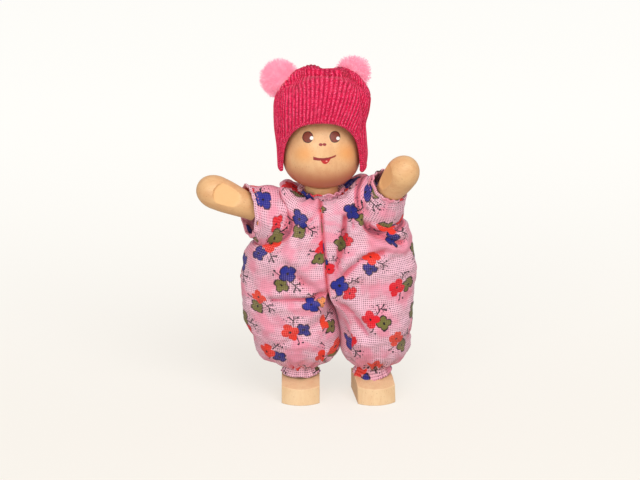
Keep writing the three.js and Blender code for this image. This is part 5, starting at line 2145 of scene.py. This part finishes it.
def rompers(space: DollSpace) -> list[RomperHalf]:
    """Both halves of the romper with their own outlines and folds.

    Args:
        space: The doll's space.

    Returns:
        The right and the left half.
    """
    right = RomperHalf(
        space,
        Side.RIGHT,
        body_rows=(
            (58.7, 59.0, -7.5, 5.4, 5.4),
            (58.0, 60.6, -9.8, 6.5, 6.5),
            (57.0, 62.0, -12.2, 7.6, 7.6),
            (55.2, 61.0, -13.9, 8.7, 8.4),
            (53.2, 57.0, -14.7, 9.5, 9.0),
            (50.8, 52.6, -14.8, 10.1, 9.6),
            (48.0, 48.8, -16.9, 10.6, 10.2),
            (45.2, 45.6, -20.0, 11.0, 10.7),
            (42.4, 42.6, -22.8, 11.3, 11.0),
            (38.5, 38.5, -24.0, 11.4, 11.2),
            (35.0, 35.0, -24.3, 11.2, 11.2),
        ),
        leg_rows=(
            (31.0, 0.0, -24.3, 11.2),
            (26.0, 1.95, -24.0, 11.2),
            (20.6, 3.0, -23.0, 11.0),
            (17.6, 3.3, -21.7, 10.5),
            (13.4, 3.0, -20.2, 9.4),
            (10.8, 0.9, -18.0, 7.2),
            (9.2, -2.9, -13.0, 5.3),
            (8.6, -3.6, -12.3, 4.4),
        ),
        folds=(
            Fold(((-0.6, 33.5), (-5.0, 31.4), (-11.0, 31.2), (-16.0, 30.8)), 1.0, 0.9),
            Fold(((-13.4, 57.5), (-13.8, 52.5), (-16.0, 49.4), (-20.4, 46.0)), 1.3, 0.9),
            Fold(((-3.0, 57.0), (-8.6, 50.0), (-9.4, 45.0)), 0.5, 1.0),
            Fold(((-3.0, 52.0), (-2.0, 44.0)), 0.5, 0.9),
            Fold(((-1.0, 33.0), (-7.0, 36.5), (-12.0, 41.5)), 0.5, 1.3),
            Fold(((0.0, 26.0), (-6.0, 21.5), (-12.0, 19.0)), 0.45, 1.4),
            Fold(((-4.0, 33.0), (-13.0, 30.0)), 0.6, 1.2, back=True),
        ),
        seed=2.3,
        cloth_start=3.0,
    )
    left = RomperHalf(
        space,
        Side.LEFT,
        body_rows=(
            (58.7, 59.0, 3.3, 5.4, 5.4),
            (58.0, 61.4, 5.8, 6.5, 6.5),
            (57.0, 64.4, 8.6, 7.6, 7.6),
            (55.4, 64.6, 11.6, 8.7, 8.4),
            (53.4, 60.0, 14.6, 9.5, 9.0),
            (50.8, 53.0, 19.8, 10.1, 9.6),
            (48.0, 48.8, 22.4, 10.6, 10.2),
            (45.2, 45.6, 23.3, 11.0, 10.7),
            (42.4, 42.6, 23.8, 11.3, 11.0),
            (38.5, 38.5, 24.4, 11.4, 11.2),
            (35.0, 35.0, 24.2, 11.2, 11.2),
        ),
        leg_rows=(
            (31.0, 0.1, 23.7, 11.2),
            (26.0, 1.75, 23.6, 11.2),
            (20.6, 2.8, 23.1, 11.0),
            (17.6, 3.1, 22.5, 10.5),
            (13.4, 3.2, 22.3, 9.4),
            (10.8, 5.0, 20.6, 7.2),
            (9.2, 7.0, 17.8, 5.3),
            (8.6, 7.8, 16.4, 4.4),
        ),
        folds=(
            Fold(((0.4, 33.5), (4.0, 38.5), (9.5, 43.5), (15.0, 44.8)), 1.1, 1.1),
            Fold(((4.6, 55.0), (4.2, 50.5), (3.2, 45.5), (1.2, 37.5)), 1.4, 0.8),
            Fold(((6.6, 57.5), (6.8, 52.5)), 0.8, 0.7),
            Fold(((1.4, 31.0), (6.5, 27.0), (10.5, 21.0)), 0.7, 1.3),
            Fold(((10.4, 58.0), (10.6, 52.0), (13.5, 49.5), (20.4, 46.6)), 1.2, 0.9),
            Fold(((4.0, 33.0), (13.0, 30.0)), 0.6, 1.2, back=True),
        ),
        seed=5.1,
        cloth_start=64.0,
    )
    return [right, left]


def make_wood(space: DollSpace) -> None:
    """The head, the neck, the hands and the feet.

    Args:
        space: The doll's space.
    """
    wood = WoodenParts(space)
    pale_wood = TurnedWood(
        "sanded_birch",
        light=srgb(234, 186, 132),
        dark=srgb(216, 154, 100),
        fleck=srgb(180, 114, 70),
        sanded=srgb(242, 190, 128),
        grain=(0.35, 1.0, 1.0),
    ).make()
    foot_wood = TurnedWood(
        "sawn_birch",
        light=srgb(241, 206, 160),
        dark=srgb(228, 182, 134),
        fleck=srgb(192, 140, 98),
        sanded=srgb(246, 210, 164),
        grain=(1.0, 1.0, 0.3),
    ).make()
    face = PaintedFace(
        "painted_face",
        light=srgb(240, 192, 140),
        dark=srgb(222, 162, 112),
        fleck=srgb(176, 110, 70),
        sanded=srgb(240, 192, 140),
        grain=(1.0, 1.0, 0.6),
        centre=space.point(*wood.head_centre),
    ).make()
    wood.make_head(face)
    wood.make_neck(pale_wood)
    for pose in ARMS.values():
        Hand(space, pose).build(pale_wood)
    Foot(space, Side.RIGHT, toe_out_deg=0).build(foot_wood)
    Foot(space, Side.LEFT, toe_out_deg=8).build(foot_wood)


def make_cap(space: DollSpace) -> None:
    """The knitted cap with its two pompoms.

    Args:
        space: The doll's space.
    """
    centre = WoodenParts(space).head_centre
    KnitCap(space, centre).build(RibKnit("cap_rib_knit").make(), rib_tree())
    # the pompoms get a painted glow
    yarn = SoftYarn(
        "pompom_yarn", srgb(255, 178, 200), srgb(255, 204, 218), srgb(252, 158, 184), glow=0.2
    ).make()
    fibres = fibre_tree()
    for side, place, radius, seed in (
        (Side.RIGHT, (-11.5, 4.4, 21.3), 5.2, 3),
        (Side.LEFT, (8.8, 6.2, 22.5), 4.6, 8),
    ):
        Pompom(space, side, tuple(np.add(centre, place)), radius, seed).build(yarn, fibres)


def make_romper(space: DollSpace) -> None:
    """The romper's halves, sleeves, neck frill and ankle frills.

    Args:
        space: The doll's space.
    """
    cotton = RomperCotton().make()
    thread = SoftYarn(
        "sewing_thread", srgb(238, 150, 172), srgb(250, 196, 210), srgb(206, 104, 130)
    ).make()
    for half in rompers(space):
        half.build(cotton)
    stitches = stitch_tree()
    sleeves = (
        Sleeve(space, ARMS[Side.RIGHT], 1, sag=1.2),
        Sleeve(space, ARMS[Side.LEFT], 2, LONG_SLEEVE, hang=0.0, turn=0.0, pull_in=0.0, sag=-0.9),
    )
    for sleeve in sleeves:
        sleeve.build(cotton, thread, stitches)
    Frill(
        space,
        "collar_frill",
        body="body",
        stands_for=("romper_neck_band",),
        centre=(WoodenParts.spine_x, 0),
        profile=((5.0, 57.6), (5.15, 58.8), (5.6, 59.9), (6.6, 60.7)),
        waves=17,
        depth=0.32,
        seed=1.2,
    ).build(cotton)
    for side, seed, tilt in ((Side.RIGHT, 2.0, 0.0), (Side.LEFT, 3.4, 0.2)):
        name = side.word
        Frill(
            space,
            f"trouser_frill_{name}",
            body=f"leg_{name}",
            stands_for=(f"trouser_hem_{name}", f"ankle_elastic_{name}"),
            centre=(ANKLE_X[side], 0),
            profile=((4.5, 9.3), (4.2, 8.6), (4.6, 7.6), (5.4, 6.4)),
            waves=12,
            depth=0.3,
            seed=seed,
            tilt=tilt,
        ).build(cotton)


def dress_cords(frame: dict) -> None:
    """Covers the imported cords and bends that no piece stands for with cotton.
    """
    cord = SoftYarn("cord_cotton", srgb(233, 217, 189), srgb(246, 236, 216), srgb(196, 176, 142)).make()
    for node in frame["nodes"].values():
        if not node.hide_render:
            node.data.materials.clear()
            node.data.materials.append(cord)


def main() -> None:
    """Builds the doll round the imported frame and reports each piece."""
    logging.basicConfig(level=logging.INFO, format="%(name)s: %(message)s")
    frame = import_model()
    space = DollSpace.from_frame(WoodenParts.spine_x)
    Studio(space).build()
    make_wood(space)
    make_cap(space)
    make_romper(space)
    dress_cords(frame)
    for piece in bpy.context.scene.objects:
        if piece.type == "MESH" and not piece.hide_render:
            LOG.info("%s, %d faces", piece.name, len(piece.data.polygons))
    LOG.info("sizes written")


if __name__ == "__main__":
    main()
